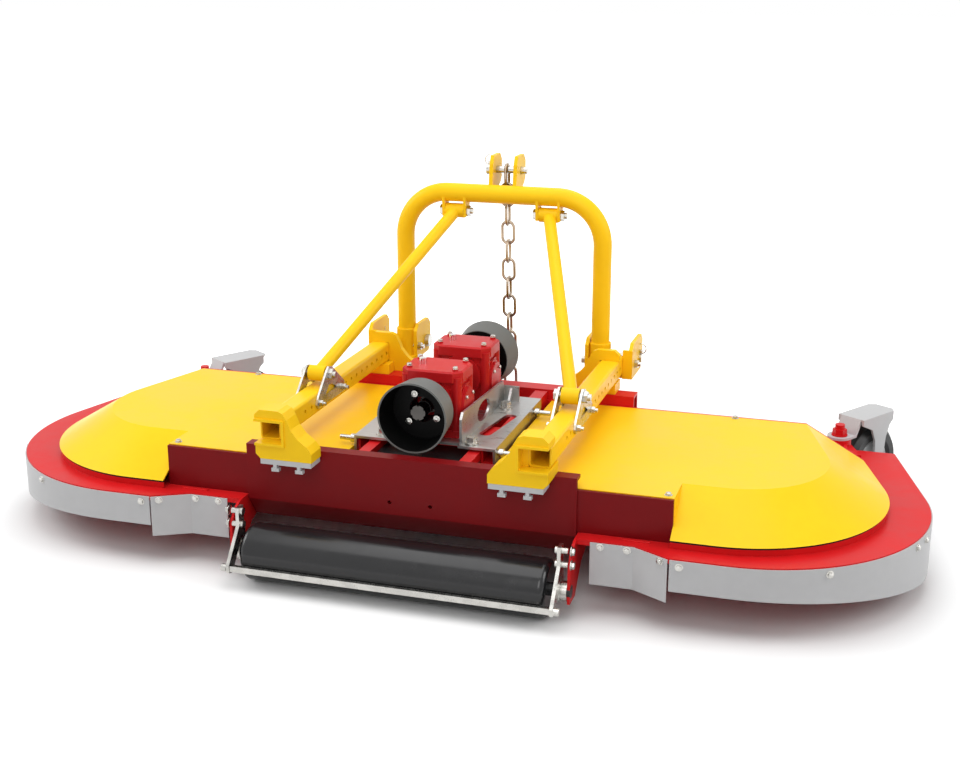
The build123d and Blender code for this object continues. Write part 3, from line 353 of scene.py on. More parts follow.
@dataclass(frozen=True)
class Finish:
    """One surface finish of the machine."""

    name: str
    colour: Colour
    roughness: float = 0.4
    metallic: float = 0.0
    specular: float = 0.5
    variation: float = 0.06
    light_share: float = 0.6
    mottle_scale: float = 5.0
    mottle_roughness: float = 0.12
    smoother: float = 0.05
    wear: float = 0.06
    wear_scale: float = 55.0
    wear_colour: Colour = (0.3, 0.29, 0.28)
    grime: float = 0.0
    grime_scale: float = 12.0
    grime_roughness: float = 0.4
    grime_colour: Colour = (0.25, 0.21, 0.16)
    grain: float = 0.0
    grain_scale: float = 24.0
    bump: float = 0.03
    bump_scale: float = 220.0
    bump_detail: float = 3.0
    bump_depth: float = 0.001

    def build(self) -> bpy.types.Material:
        """Build the material.

        Returns:
            The node-based material.
        """
        material = bpy.data.materials.new(self.name)
        material.use_nodes = True
        nodes = Nodes(material.node_tree)
        shader = nodes.tree.nodes["Principled BSDF"]
        shader.inputs["Metallic"].default_value = self.metallic
        shader.inputs["Specular IOR Level"].default_value = self.specular
        mottle = nodes.effect(Effect.MOTTLE, Scale=self.mottle_scale)
        dark = tuple(c * (1 - self.variation) for c in self.colour)
        light = tuple(min(1.0, c * (1 + self.variation * self.light_share)) for c in self.colour)
        colour = self.tint(nodes, nodes.blend(mottle, rgba(dark), rgba(light)))
        rough = nodes.math("ADD", nodes.math("MULTIPLY", mottle, self.mottle_roughness),
                           self.roughness - self.smoother)
        if self.wear > 0:
            worn = nodes.effect(Effect.EDGE_WEAR, Amount=self.wear, Scale=self.wear_scale)
            colour = nodes.blend(worn, colour, rgba(self.wear_colour))
        if self.grime > 0:
            dusty = nodes.effect(Effect.GRIME, Amount=self.grime, Scale=self.grime_scale)
            colour = nodes.blend(dusty, colour, rgba(self.grime_colour))
            rough = nodes.math("ADD", rough, nodes.math("MULTIPLY", dusty, self.grime_roughness))
        height = nodes.noise(self.bump_scale, self.bump_detail)
        if self.grain > 0:
            lines = nodes.effect(Effect.GRAIN, Scale=self.grain_scale)
            rough = nodes.math("ADD", rough, nodes.math("MULTIPLY", lines, self.grain))
            height = nodes.math("ADD", height, lines)
        bump = nodes.add("ShaderNodeBump")
        bump.inputs["Strength"].default_value = self.bump
        bump.inputs["Distance"].default_value = self.bump_depth
        nodes.link(height, bump.inputs["Height"])
        nodes.link(bump.outputs["Normal"], shader.inputs["Normal"])
        nodes.link(colour, shader.inputs["Base Color"])
        nodes.link(rough, shader.inputs["Roughness"])
        return material

    def tint(self, nodes: Nodes, colour: bpy.types.NodeSocket) -> bpy.types.NodeSocket:
        """Change the colour by place, which a plain finish leaves alone.

        Args:
            nodes: the material's helper, which a plain finish does not use.
            colour: the colour so far.

        Returns:
            The changed colour.
        """
        return colour


@dataclass(frozen=True)
class GuardFinish(Finish):
    """Finish of the drive guards: black plastic, with a painted grey sheen on the outer skin and
    the rim, black inside.
    """

    outer: Colour = (0.15, 0.155, 0.15)
    middle: float = 0.251
    back: float = 0.219
    mouth: float = 0.294
    back_radius: float = 0.074
    mouth_radius: float = 0.082
    half_wall: float = 0.002
    rim_depth: float = 0.0003

    def tint(self, nodes: Nodes, colour: bpy.types.NodeSocket) -> bpy.types.NodeSocket:
        """Paint a grey sheen on the outer skin and the rim, by distance from the drive axis.

        Args:
            nodes: the material's helper.
            colour: the colour inside the guard.

        Returns:
            The colour of the whole guard.
        """
        where = nodes.add("ShaderNodeTexCoord")
        split = nodes.add("ShaderNodeSeparateXYZ")
        nodes.link(where.outputs["Object"], split.inputs[0])
        x, y, z = (split.outputs[axis] for axis in "XYZ")
        squares = [nodes.math("MULTIPLY", value, value) for value in (x, z)]
        radius = nodes.math("SQRT", nodes.math("ADD", *squares))
        along = nodes.math("ABSOLUTE", nodes.math("SUBTRACT", y, self.middle))
        slope = (self.mouth_radius - self.back_radius) / (self.mouth - self.back)
        widening = nodes.math("MULTIPLY", nodes.math("SUBTRACT", along, self.back), slope)
        skin = nodes.math("ADD", widening, self.back_radius - self.half_wall)
        # Painted sheen: outside the skin and on the rim the black plastic is painted grey,
        # standing in for light falling on it.
        sheen_skin = nodes.math("GREATER_THAN", radius, skin)
        rim = nodes.math("GREATER_THAN", along, self.mouth - self.rim_depth)
        return nodes.blend(nodes.math("MAXIMUM", sheen_skin, rim), colour, rgba(self.outer))


class Look(Enum):
    """The machine's finishes, each under the name of its material slot."""

    RED = Finish("red_paint", (0.62, 0.011, 0.013), 0.34, specular=0.14)
    DARK_RED = Finish("dark_red_paint", (0.19, 0.004, 0.006), 0.36, specular=0.12)
    YELLOW = Finish("yellow_paint", (0.95, 0.585, 0.009), 0.34, specular=0.14, variation=0.03)
    GREY = Finish("grey_paint", (0.50, 0.50, 0.505), 0.42, specular=0.3, variation=0.04)
    STAINLESS = Finish("stainless", (0.48, 0.48, 0.475), 0.28, metallic=1.0, wear=0.0, grain=0.16)
    ZINC = Finish("zinc", (0.56, 0.55, 0.52), 0.26, metallic=1.0, wear=0.0,
                  variation=0.12, mottle_scale=40.0)
    STEEL = Finish("bright_steel", (0.40, 0.33, 0.26), 0.26, metallic=1.0, wear=0.0,
                   variation=0.25)
    CHROME = Finish("chrome", (0.8, 0.8, 0.8), 0.08, metallic=1.0, wear=0.0, variation=0.03)
    OILED = Finish("oiled_steel", (0.09, 0.085, 0.08), 0.34, metallic=1.0, wear=0.0,
                   variation=0.2)
    DARK = Finish("dark_steel", (0.012, 0.012, 0.013), 0.2, specular=0.45, bump=0.01)
    CAST_RED = Finish("cast_red", (0.52, 0.009, 0.012), 0.38, specular=0.25,
                      bump=0.2, bump_scale=90.0)
    CAST_GREY = Finish("cast_grey", (0.16, 0.16, 0.165), 0.6, bump=0.3, bump_scale=90.0)
    # Black plastic of the guards, with a painted grey sheen on their outer skin and rim.
    PLASTIC = GuardFinish("black_plastic", (0.003, 0.003, 0.003), 0.45, specular=0.08,
                          wear=0.0, bump=0.05)
    RUBBER = Finish("black_rubber", (0.008, 0.008, 0.008), 0.7, specular=0.2, wear=0.0,
                    grime=0.05, bump=0.2)
    TYRE = Finish("wheel_rubber", (0.014, 0.014, 0.014), 0.5, wear=0.0, grime=0.05, bump=0.2)


@dataclass
class Palette:
    """Builds each finish once and hands out its material."""

    built: dict[Look, bpy.types.Material] = field(default_factory=dict)

    def get(self, look: Look) -> bpy.types.Material:
        """Find a finish's material, and build it on first use.

        Args:
            look: the finish.

        Returns:
            Its material.
        """
        if look not in self.built:
            self.built[look] = look.value.build()
        return self.built[look]


@dataclass
class Dresser:
    """Gives every CAD node its finish, by the record's material slots."""

    palette: Palette
    frame: dict
    special: dict[str, Look] = field(default_factory=lambda: {"drive_shaft": Look.OILED})

    def dress(self) -> list[bpy.types.Object]:
        """Put each node's material on its object.

        Returns:
            The dressed nodes.
        """
        looks = {look.value.name: look for look in Look}
        slots = {part["node"]: part["material_slot"] for part in self.frame["record"]["subparts"]}
        for name, obj in self.frame["nodes"].items():
            look = self.special.get(name, looks[slots[name]])
            obj.data.materials.clear()
            obj.data.materials.append(self.palette.get(look))
        return list(self.frame["nodes"].values())


# Fittings


class Side(Enum):
    """The two sides of the machine, with the sign of their X."""

    LEFT = -1
    RIGHT = 1

    @property
    def word(self) -> str:
        """The side's name in the CAD nodes."""
        return self.name.lower()


def facing(place: Vector, axis: Vector) -> Matrix:
    """Move that stands a piece, modelled along Z, at a place and along an axis."""
    return Matrix.Translation(place) @ UP.rotation_difference(axis).to_matrix().to_4x4()


def both_sides(place: Vector, axis: Vector) -> list[Matrix]:
    """Stand a piece on the right of the machine, and its mirror image on the left.

    Args:
        place: where it stands on the right.
        axis: the way it faces there.

    Returns:
        The two moves.
    """
    return [facing(Vector((side * place.x, place.y, place.z)),
                   Vector((side * axis.x, axis.y, axis.z)))
            for side in (1, -1)]


@dataclass
class Workshop:
    """Models small pieces once and places copies of them on the machine."""

    palette: Palette
    nodes: dict[str, bpy.types.Object]
    bevel_steps: int = 2
    ring_steps: int = 32
    wire_sides: int = 10
    smooth_angle: float = math.radians(35)

    def seat(self, node: str, start: Vector, aim: Vector) -> Matrix:
        """Find where a fitting sits on a CAD node.

        Args:
            node: the CAD node's name.
            start: a point in front of the surface.
            aim: the direction in which to look for it.

        Returns:
            The move that stands a piece, modelled along Z, on that surface.
        """
        hit, point, normal, _ = self.nodes[node].ray_cast(start, aim.normalized())
        if not hit:
            raise ValueError(f"no seat on {node} at {tuple(start)}")
        return facing(point, normal)

    def choose(self, objects: Iterable[bpy.types.Object]) -> None:
        """Select only these objects, and make the first one active.

        Args:
            objects: the objects, or none of them.
        """
        bpy.ops.object.select_all(action="DESELECT")
        for index, obj in enumerate(objects):
            obj.select_set(True)
            if index == 0:
                bpy.context.view_layer.objects.active = obj

    def bevel(self, width: float, steps: int) -> None:
        """Bevel all the edges of the active object.

        Args:
            width: width of the cut.
            steps: number of its steps.
        """
        bpy.ops.object.mode_set(mode="EDIT")
        bpy.ops.mesh.select_all(action="SELECT")
        bpy.ops.mesh.bevel(offset=width, segments=steps, affect="EDGES")
        bpy.ops.object.mode_set(mode="OBJECT")

    def bar(self, sides: int, radius: float, low: float, high: float,
            bevel: float) -> bpy.types.Object:
        """Add a bevelled bar along Z.

        Args:
            sides: number of its flats.
            radius: its radius at the corners.
            low: z of its foot.
            high: z of its head.
            bevel: width of the cut on its edges.

        Returns:
            The bar.
        """
        self.choose(())
        bpy.ops.mesh.primitive_cylinder_add(vertices=sides, radius=radius, depth=high - low,
                                            location=(0, 0, (low + high) / 2))
        obj = bpy.context.object
        self.bevel(bevel, self.bevel_steps)
        return obj

    def ring(self, major: float, minor: float, height: float = 0.0,
             tilt: float = 0.0) -> bpy.types.Object:
        """Add a round ring with its centre on the Z axis.

        Args:
            major: radius of its middle line.
            minor: radius of its wire.
            height: z of its centre.
            tilt: its turn about X from the XY plane.

        Returns:
            The ring.
        """
        self.choose(())
        bpy.ops.mesh.primitive_torus_add(major_radius=major, minor_radius=minor,
                                         major_segments=self.ring_steps,
                                         minor_segments=self.wire_sides,
                                         location=(0, 0, height), rotation=(tilt, 0, 0))
        return bpy.context.object

    def template(self, parts: list[bpy.types.Object]) -> bpy.types.Object:
        """Join parts into one smooth template with its place in its mesh.

        Args:
            parts: the parts, which become one object.

        Returns:
            The template.
        """
        self.choose(parts)
        if len(parts) > 1:
            bpy.ops.object.join()
        bpy.ops.object.transform_apply(location=True, rotation=True, scale=True)
        bpy.ops.object.shade_smooth_by_angle(angle=self.smooth_angle)
        return bpy.context.object

    def place(self, template: bpy.types.Object, name: str, moves: list[Matrix], look: Look,
              body: str = "frame") -> bpy.types.Object:
        """Put copies of a template on a body, as one piece with its own mesh.

        Args:
            template: the modelled piece.
            name: the new piece's name.
            moves: where each copy goes.
            look: its finish.
            body: the CAD body that it rides on.

        Returns:
            The new piece.
        """
        copies = []
        for index, move in enumerate(moves):
            mesh = template.data.copy()
            mesh.transform(move)
            obj = bpy.data.objects.new(name if index == 0 else f"{name}_{index}", mesh)
            bpy.context.collection.objects.link(obj)
            copies.append(obj)
        self.choose(copies)
        if len(copies) > 1:
            bpy.ops.object.join()
        piece = bpy.context.object
        piece.data.materials.clear()
        piece.data.materials.append(self.palette.get(look))
        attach(piece, body)
        return piece

    @staticmethod
    def discard(template: bpy.types.Object) -> None:
        """Remove a template after its copies are placed."""
        bpy.data.objects.remove(template)


@dataclass(frozen=True)
class HexBolt:
    """Hexagon bolt head on a washer, with a low round crown on top."""

    corner_radius: float = 0.0066
    head: float = 0.0048
    washer_radius: float = 0.0088
    washer: float = 0.0012
    washer_sides: int = 24
    washer_bevel: float = 0.0002
    head_sides: int = 6
    head_sink: float = 0.0002
    head_bevel: float = 0.0005
    crown_sides: int = 16
    crown_share: float = 0.6
    crown_sink: float = 0.0005
    crown_rise: float = 0.0006
    crown_bevel: float = 0.0002

    def build(self, shop: Workshop) -> bpy.types.Object:
        """Model the bolt head along Z from its seat.

        Args:
            shop: the workshop.

        Returns:
            The template.
        """
        top = self.washer + self.head
        washer = shop.bar(self.washer_sides, self.washer_radius, 0.0, self.washer,
                          self.washer_bevel)
        head = shop.bar(self.head_sides, self.corner_radius, self.washer - self.head_sink, top,
                        self.head_bevel)
        crown = shop.bar(self.crown_sides, self.corner_radius * self.crown_share,
                         top - self.crown_sink, top + self.crown_rise, self.crown_bevel)
        return shop.template([washer, head, crown])


@dataclass(frozen=True)
class SocketScrew:
    """Round cap screw with a raised rim round its socket."""

    radius: float = 0.0042
    height: float = 0.0042
    sides: int = 20
    bevel: float = 0.0004
    rim_share: float = 0.62
    rim_wire: float = 0.0005

    def build(self, shop: Workshop) -> bpy.types.Object:
        """Model the screw head along Z from its seat.

        Args:
            shop: the workshop.

        Returns:
            The template.
        """
        body = shop.bar(self.sides, self.radius, 0.0, self.height, self.bevel)
        rim = shop.ring(self.radius * self.rim_share, self.rim_wire, self.height)
        return shop.template([body, rim])


@dataclass(frozen=True)
class LinchPin:
    """Spring pin: a peg through a hitch pin and a round wire bail."""

    peg_radius: float = 0.0024
    peg_sides: int = 12
    peg_bevel: float = 0.0006
    below: float = 0.014
    above: float = 0.016
    knob_share: float = 2.0
    knob_sides: int = 16
    knob_sink: float = 0.002
    knob_rise: float = 0.005
    knob_bevel: float = 0.0012
    bail_radius: float = 0.0135
    bail_lift: float = 0.6
    wire: float = 0.0015

    def build(self, shop: Workshop) -> bpy.types.Object:
        """Model the pin along Z with its middle at the hitch pin's axis.

        Args:
            shop: the workshop.

        Returns:
            The template.
        """
        peg = shop.bar(self.peg_sides, self.peg_radius, -self.below, self.above, self.peg_bevel)
        knob = shop.bar(self.knob_sides, self.peg_radius * self.knob_share,
                        self.above - self.knob_sink, self.above + self.knob_rise,
                        self.knob_bevel)
        bail = shop.ring(self.bail_radius, self.wire,
                         self.above + self.bail_lift * self.bail_radius, math.radians(90))
        return shop.template([peg, knob, bail])


@dataclass(frozen=True)
class Panels:
    """Bolts of the front panels, the skirts, the belt covers and the deck's rim."""

    bolt: HexBolt = HexBolt()
    reach: float = 0.03
    bolt_height: float = 0.160
    panel_bolts: tuple[tuple[float, float], ...] = (
        (0.452, -0.0413), (0.511, -0.0413), (0.588, -0.075))
    end_centre: tuple[float, float] = (0.725, 0.322)
    end_radius: float = 0.406
    end_bearings: tuple[float, ...] = (-103.2, -59.3, -21.8, -14.4)
    end_height: float = 0.155
    rear_face: float = 0.7333
    rear_bolts: tuple[float, ...] = (0.12, 0.32, 0.52)
    cover_bolts: tuple[tuple[float, float], ...] = ((0.584, 0.025), (0.650, 0.594))
    cover_top: float = 0.30
    rim_bolt: tuple[float, float] = (1.015, 0.430)

    def side_moves(self, shop: Workshop, side: Side) -> list[Matrix]:
        """Seat the bolts of one side.

        Args:
            shop: the workshop.
            side: the side of the machine.

        Returns:
            Each bolt's move.
        """
        found = []
        for x, y in self.panel_bolts:
            start = Vector((side.value * x, station(y - self.reach), level(self.bolt_height)))
            found.append(shop.seat(f"front_panel_{side.word}", start, BACK))
        centre = Vector((side.value * self.end_centre[0], station(self.end_centre[1]),
                         level(self.end_height)))
        for bearing in self.end_bearings:
            angle = math.radians(bearing)
            out = Vector((side.value * math.cos(angle), math.sin(angle), 0.0))
            start = centre + out * (self.end_radius + self.reach)
            found.append(shop.seat(f"end_skirt_{side.word}", start, -out))
        for x in self.rear_bolts:
            start = Vector((side.value * x, station(self.rear_face + self.reach),
                            level(self.end_height)))
            found.append(shop.seat("rear_skirt", start, -BACK))
        above = [(f"belt_cover_{side.word}", spot) for spot in self.cover_bolts]
        for node, (x, y) in (*above, ("deck", self.rim_bolt)):
            start = Vector((side.value * x, station(y), level(self.cover_top)))
            found.append(shop.seat(node, start, -UP))
        return found

    def build(self, shop: Workshop) -> list[bpy.types.Object]:
        """Bolt the sheet parts down.

        Args:
            shop: the workshop.

        Returns:
            The new piece.
        """
        bolt = self.bolt.build(shop)
        moves = [move for side in Side for move in self.side_moves(shop, side)]
        piece = shop.place(bolt, "panel_bolts", moves, Look.ZINC)
        shop.discard(bolt)
        return [piece]


@dataclass(frozen=True)
class PlateTabs:
    """Short welded tabs that hold the foot of the front plate on the deck."""

    centre: tuple[float, float] = (0.524, -0.014)
    half_length: float = 0.031
    half_depth: float = 0.004
    height: float = 0.003
    bevel: float = 0.001
    bevel_steps: int = 3

    def build(self, shop: Workshop) -> list[bpy.types.Object]:
        """Place one tab on each side.

        Args:
            shop: the workshop.

        Returns:
            The new piece.
        """
        shop.choose(())
        bpy.ops.mesh.primitive_cube_add(
            size=2, scale=(self.half_length, self.half_depth, self.height))
        tab = bpy.context.object
        shop.bevel(self.bevel, self.bevel_steps)
        tab = shop.template([tab])
        x, y = self.centre
        moves = [shop.seat("deck", Vector((side.value * x, station(y), 0.0)), -UP)
                 for side in Side]
        piece = shop.place(tab, "plate_tabs", moves, Look.RED)
        shop.discard(tab)
        return [piece]


@dataclass(frozen=True)
class GuardScrews:
    """Bright screws that hold the drive guards, deep in both mouths."""

    screw: HexBolt = HexBolt(corner_radius=0.0052, head=0.003, washer_radius=0.0078, washer=0.001)
    bearings: tuple[float, ...] = (112.0, 224.0, 336.0)
    circle: float = 0.041
    middle: float = 0.251
    inside: float = 0.28

    def build(self, shop: Workshop) -> list[bpy.types.Object]:
        """Place the screws in both guards.

        Args:
            shop: the workshop.

        Returns:
            The new piece.
        """
        screw = self.screw.build(shop)
        moves = []
        for node, way in (("guard_front", -1.0), ("guard_rear", 1.0)):
            for bearing in self.bearings:
                angle = math.radians(bearing)
                start = Vector((self.circle * math.cos(angle), self.middle + way * self.inside,
                                self.circle * math.sin(angle)))
                moves.append(shop.seat(node, start, -way * BACK))
        piece = shop.place(screw, "guard_screws", moves, Look.ZINC)
        shop.discard(screw)
        return [piece]


@dataclass(frozen=True)
class GearboxScrews:
    """Bolts on the lids and side caps of both gearboxes."""

    bolt: HexBolt = HexBolt(corner_radius=0.0062, head=0.0045, washer_radius=0.0066,
                            washer=0.0008)
    screw: SocketScrew = SocketScrew()
    centres: tuple[float, float] = (0.216, 0.438)
    lid_x: float = 0.056
    lid_y: float = 0.038
    lid_top: float = 0.462
    cap_x: float = 0.077
    cap_centre: float = 0.369
    cap_step: float = 0.0225

    def build(self, shop: Workshop) -> list[bpy.types.Object]:
        """Screw the lids and caps down.

        Args:
            shop: the workshop.

        Returns:
            The two new pieces.
        """
        lids, caps = [], []
        steps = (-self.cap_step, self.cap_step)
        for y in self.centres:
            for shift in (-self.lid_y, self.lid_y):
                spot = Vector((self.lid_x, station(y + shift), level(self.lid_top)))
                lids += both_sides(spot, UP)
            for dy, dz in ((dy, dz) for dy in steps for dz in steps):
                spot = Vector((self.cap_x, station(y + dy), level(self.cap_centre + dz)))
                caps += both_sides(spot, RIGHT)
        bolt = self.bolt.build(shop)
        pieces = [shop.place(bolt, "lid_bolts", lids, Look.ZINC)]
        shop.discard(bolt)
        screw = self.screw.build(shop)
        pieces.append(shop.place(screw, "cap_screws", caps, Look.ZINC))
        shop.discard(screw)
        return pieces


@dataclass(frozen=True)
class HitchFittings:
    """Spring pins of the hitch pins, welds of the arch and bolts of the roller plates."""

    pin: LinchPin = LinchPin()
    top_pin: Spot = (-0.047, 0.789, 0.832)
    link_pin: Spot = (0.3692, 0.800, 0.348)
    collar: Spot = (0.270, 0.747, 0.395)
    weld_radius: float = 0.0255
    weld_wire: float = 0.0018
    bolt: HexBolt = HexBolt(corner_radius=0.0088, head=0.0064, washer_radius=0.0115,
                            washer=0.0015)
    plate_bolt: tuple[float, float] = (0.400, -0.086)
    plate_heights: tuple[float, float] = (0.162, 0.130)

    @staticmethod
    def spot(x: float, distance: float, height: float) -> Vector:
        """Point at a distance behind the front plate and a height above the ground."""
        return Vector((x, station(distance), level(height)))

    def build(self, shop: Workshop) -> list[bpy.types.Object]:
        """Place the pins, welds and bolts.

        Args:
            shop: the workshop.

        Returns:
            The three new pieces.
        """
        pin = self.pin.build(shop)
        moves = [facing(self.spot(*self.top_pin), UP), *both_sides(self.spot(*self.link_pin), UP)]
        pieces = [shop.place(pin, "linch_pins", moves, Look.ZINC)]
        shop.discard(pin)
        weld = shop.template([shop.ring(self.weld_radius, self.weld_wire)])
        moves = both_sides(self.spot(*self.collar), UP)
        pieces.append(shop.place(weld, "collar_welds", moves, Look.YELLOW))
        shop.discard(weld)
        bolt = self.bolt.build(shop)
        moves = [move for height in self.plate_heights
                 for move in both_sides(self.spot(*self.plate_bolt, height), RIGHT)]
        pieces.append(shop.place(bolt, "roller_plate_bolts", moves, Look.ZINC))
        shop.discard(bolt)
        return pieces


@dataclass(frozen=True)
class Chain:
    """Round-wire chain in the place of the CAD chain."""

    wire: float = 0.008
    length: float = 0.0675
    width: float = 0.040
    gap: float = 0.0003
    count: int = 13
    lean: float = 0.051
    pin_station: float = 0.789
    pin_height: float = 0.832
    pin_radius: float = 0.0095
    bolt_radius: float = 0.006
    steps: int = 32
    wire_sides: int = 12

    def link(self, shop: Workshop) -> bpy.types.Object:
        """Model one link in the YZ plane, from a ring drawn out along Z.

        Args:
            shop: the workshop.

        Returns:
            The template.
        """
        bend = (self.width - self.wire) / 2
        straight = (self.length - self.wire) / 2 - bend
        shop.choose(())
        bpy.ops.mesh.primitive_torus_add(major_radius=bend, minor_radius=self.wire / 2,
                                         major_segments=self.steps,
                                         minor_segments=self.wire_sides,
                                         rotation=(0, math.radians(90), 0))
        obj = bpy.context.object
        bpy.ops.object.transform_apply(location=True, rotation=True, scale=True)
        # Half a step round, so that the middle falls between two rows of vertices.
        obj.data.transform(Matrix.Rotation(math.pi / self.steps, 4, "X"))
        for side in (1, -1):
            bpy.ops.object.mode_set(mode="EDIT")
            bpy.ops.mesh.select_all(action="DESELECT")
            bpy.ops.object.mode_set(mode="OBJECT")
            for vertex in obj.data.vertices:
                vertex.select = vertex.co.z * side > 0
            bpy.ops.object.mode_set(mode="EDIT")
            bpy.ops.transform.translate(value=(0, 0, side * straight))
            bpy.ops.object.mode_set(mode="OBJECT")
        return shop.template([obj])

    def build(self, shop: Workshop) -> list[bpy.types.Object]:
        """Hang the links from the top pin to the anchor.

        Args:
            shop: the workshop.

        Returns:
            The new piece.
        """
        pitch = self.length - 2 * self.wire - self.gap
        span = pitch * self.count - self.pin_radius - self.bolt_radius - self.gap
        first = self.length / 2 - self.wire - self.pin_radius - self.gap
        pin = Vector((0.0, station(self.pin_station), level(self.pin_height)))
        hang = Matrix.Translation(pin) @ Matrix.Rotation(math.asin(self.lean / span), 4, "X")
        moves = []
        for index in range(self.count):
            drop = Matrix.Translation((0.0, 0.0, -(first + pitch * index)))
            moves.append(hang @ drop @ Matrix.Rotation(math.radians(90) * (index % 2), 4, "Z"))
        link = self.link(shop)
        piece = shop.place(link, "chain_links", moves, Look.STEEL)
        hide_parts("chain")
        shop.discard(link)
        return [piece]


@dataclass(frozen=True)
class CastorHub:
    """Pressed hub discs in the sides of the castor wheels."""

    pivot: tuple[float, float] = (0.897, 0.748)
    trail: float = 0.124
    turn: float = math.radians(32.5)
    axle_height: float = 0.100
    face: float = 0.0162
    radius: float = 0.0625
    disc_sides: int = 48
    disc_depth: float = 0.002
    disc_bevel: float = 0.0008
    bead_inset: float = 0.004
    bead_wire: float = 0.0022
    bead_height: float = 0.0018
    studs: int = 5
    stud_circle: float = 0.046
    stud_sides: int = 6
    stud_radius: float = 0.0055
    stud_foot: float = 0.0016
    stud_top: float = 0.006
    stud_bevel: float = 0.0006

    def disc(self, shop: Workshop) -> bpy.types.Object:
        """Model one disc with its bead and studs, along Z from the wheel's face.

        Args:
            shop: the workshop.

        Returns:
            The template.
        """
        parts = [shop.bar(self.disc_sides, self.radius, 0.0, self.disc_depth, self.disc_bevel),
                 shop.ring(self.radius - self.bead_inset, self.bead_wire, self.bead_height)]
        for index in range(self.studs):
            angle = math.radians(360 / self.studs * index)
            stud = shop.bar(self.stud_sides, self.stud_radius, self.stud_foot, self.stud_top,
                            self.stud_bevel)
            stud.location.x += self.stud_circle * math.cos(angle)
            stud.location.y += self.stud_circle * math.sin(angle)
            parts.append(stud)
        return shop.template(parts)

    def build(self, shop: Workshop) -> list[bpy.types.Object]:
        """Dress both wheels on both sides.

        Args:
            shop: the workshop.

        Returns:
            The two new pieces.
        """
        disc = self.disc(shop)
        axis = Vector((math.cos(self.turn), -math.sin(self.turn), 0.0))
        back = Vector((math.sin(self.turn), math.cos(self.turn), 0.0))
        pieces = []
        for side in Side:
            pivot = Vector((side.value * self.pivot[0], station(self.pivot[1]),
                            level(self.axle_height)))
            centre = pivot + back * self.trail
            moves = [facing(centre + axis * self.face * way, axis * way) for way in (1, -1)]
            pieces.append(shop.place(disc, f"castor_hub_{side.word}", moves, Look.GREY,
                                     f"castor_wheel_{side.word}"))
        shop.discard(disc)
        return pieces


# Camera, light and floor


def stand(name: str, data: bpy.types.ID, place: Vector, aim: Vector) -> bpy.types.Object:
    """Put a camera or a lamp in the scene.

    Args:
        name: its name.
        data: the camera's or the lamp's data.
        place: where it stands.
        aim: the direction in which it looks.

    Returns:
        The new object.
    """
    obj = bpy.data.objects.new(name, data)
    bpy.context.collection.objects.link(obj)
    obj.location = place
    obj.rotation_mode = "QUATERNION"
    obj.rotation_quaternion = aim.to_track_quat("-Z", "Y")
    return obj


@dataclass(frozen=True)
class Lamp:
    """Soft square lamp, with its side in metres and its power in watts."""

    name: str
    place: Spot
    size: float
    watts: float

    def build(self, target: Vector) -> None:
        """Hang the lamp.

        Args:
            target: the point that it faces.
        """
        data = bpy.data.lights.new(self.name, "AREA")
        data.size = self.size
        data.energy = self.watts
        place = Vector(self.place)
        stand(self.name, data, place, target - place)


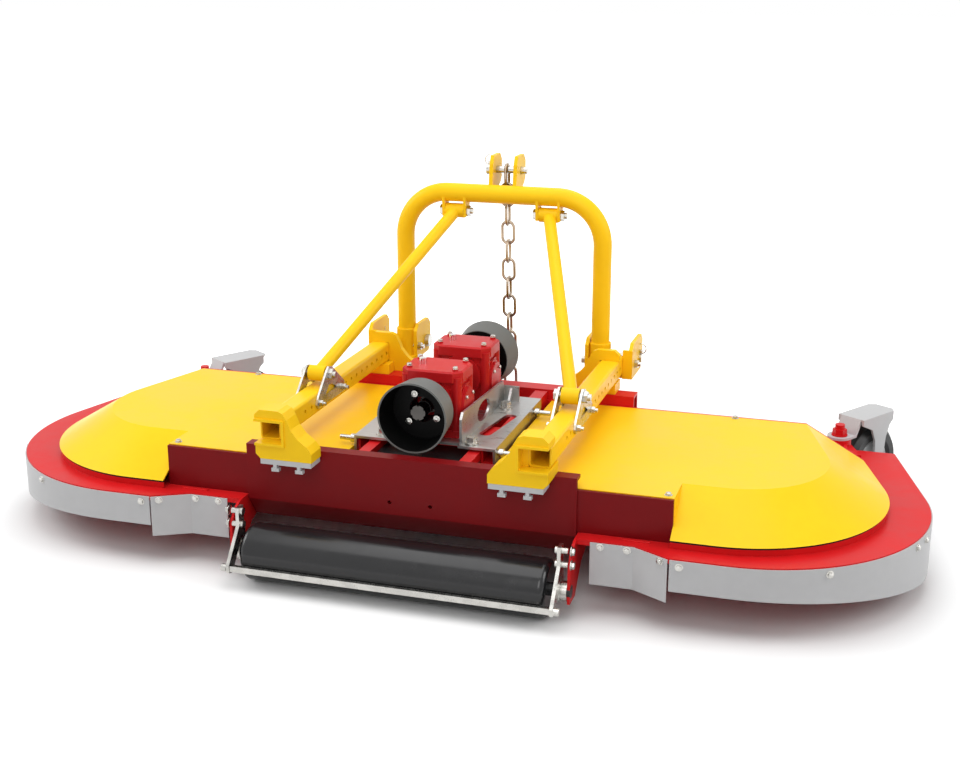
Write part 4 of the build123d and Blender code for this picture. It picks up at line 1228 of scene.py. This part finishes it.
@dataclass(frozen=True)
class Studio:
    """Camera, lamps, world and floor."""

    camera_place: Spot = (1.0478, -2.8991, 1.0014)
    azimuth: float = 17.262
    elevation: float = 16.853
    lens: float = 53.717
    sensor: float = 36.0
    lamps: tuple[Lamp, ...] = (
        Lamp("top", (0.0, -0.5, 4.0), 4.0, 95.0),
        Lamp("left", (-4.4, -0.4, 2.4), 2.5, 85.0),
        Lamp("right", (4.4, 0.4, 2.2), 2.5, 70.0),
        Lamp("back", (0.0, 3.2, 4.0), 2.5, 40.0),
        Lamp("front", (0.6, -4.4, 2.8), 2.5, 55.0),
    )
    lamp_target: Spot = (0.0, 0.3, -0.2)
    sky: float = 0.42
    sky_seen: float = 1.0
    floor_size: float = 60.0
    floor_gap: float = 0.0005
    floor_seen: float = 0.93
    floor_bounce: float = 0.6
    floor_roughness: float = 0.8
    glow: Limits = (1.2, 2.8)

    def camera(self) -> None:
        """Make the camera at the photograph's place and angle."""
        data = bpy.data.cameras.new("camera")
        data.lens = self.lens
        data.sensor_width = self.sensor
        a, e = math.radians(self.azimuth), math.radians(self.elevation)
        back = Vector((math.sin(a) * math.cos(e), -math.cos(a) * math.cos(e), math.sin(e)))
        bpy.context.scene.camera = stand("camera", data, Vector(self.camera_place), -back)

    def world(self) -> None:
        """Light the sky evenly, and show it white to the camera and in reflections."""
        world = bpy.data.worlds.new("studio")
        bpy.context.scene.world = world
        world.use_nodes = True
        nodes = Nodes(world.node_tree)
        background = nodes.tree.nodes["Background"]
        background.inputs["Color"].default_value = rgba(WHITE)
        more = nodes.math("MULTIPLY", nodes.seen(), self.sky_seen - self.sky)
        nodes.link(nodes.math("ADD", more, self.sky), background.inputs["Strength"])

    def floor(self) -> bpy.types.Object:
        """Make the plain pale floor under the machine, which glows white far from it.

        Returns:
            The floor.
        """
        bpy.ops.object.select_all(action="DESELECT")
        bpy.ops.mesh.primitive_plane_add(size=self.floor_size,
                                         location=(0, 0, GROUND - self.floor_gap))
        obj = bpy.context.object
        obj.name = "floor"
        bpy.ops.object.transform_apply(location=True, rotation=False, scale=False)
        material = bpy.data.materials.new("floor")
        material.use_nodes = True
        nodes = Nodes(material.node_tree)
        shader = nodes.tree.nodes["Principled BSDF"]
        seen = nodes.seen()
        dim, pale = (rgba((value,) * 3) for value in (self.floor_bounce, self.floor_seen))
        nodes.link(nodes.blend(seen, dim, pale), shader.inputs["Base Color"])
        where = nodes.add("ShaderNodeTexCoord")
        away = nodes.add("ShaderNodeVectorMath", operation="LENGTH")
        nodes.link(where.outputs["Object"], away.inputs[0])
        glow = nodes.ramp(away.outputs["Value"], *self.glow)
        nodes.link(nodes.math("MULTIPLY", glow, seen), shader.inputs["Emission Strength"])
        shader.inputs["Emission Color"].default_value = rgba(WHITE)
        shader.inputs["Specular IOR Level"].default_value = 0.0
        shader.inputs["Roughness"].default_value = self.floor_roughness
        obj.data.materials.append(material)
        return obj

    def build(self) -> list[bpy.types.Object]:
        """Build camera, lamps, world and floor.

        Returns:
            The floor.
        """
        self.camera()
        for lamp in self.lamps:
            lamp.build(Vector(self.lamp_target))
        self.world()
        floor = self.floor()
        bpy.context.scene.view_settings.view_transform = "Standard"
        return [floor]


def report(work: str, pieces: Iterable[bpy.types.Object]) -> None:
    """Log each piece with its finish and its number of faces.

    Args:
        work: what was done to the pieces.
        pieces: the pieces.
    """
    for piece in pieces:
        log.info("%s %s in %s, %d faces", work, piece.name, piece.data.materials[0].name,
                 len(piece.data.polygons))


def main() -> None:
    """Dress the machine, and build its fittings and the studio."""
    logging.basicConfig(level=logging.INFO, format="%(name)s: %(message)s")
    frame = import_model()
    palette = Palette()
    for shared in (EdgeWear(), Mottle(), Grime(), Grain()):
        shared.build()
    report("dressed", Dresser(palette, frame).dress())
    shop = Workshop(palette, frame["nodes"])
    for fitting in (Panels(), PlateTabs(), GuardScrews(), GearboxScrews(), HitchFittings(),
                    Chain(), CastorHub()):
        report("built", fitting.build(shop))
    report("laid", Studio().build())


if __name__ == "__main__":
    main()
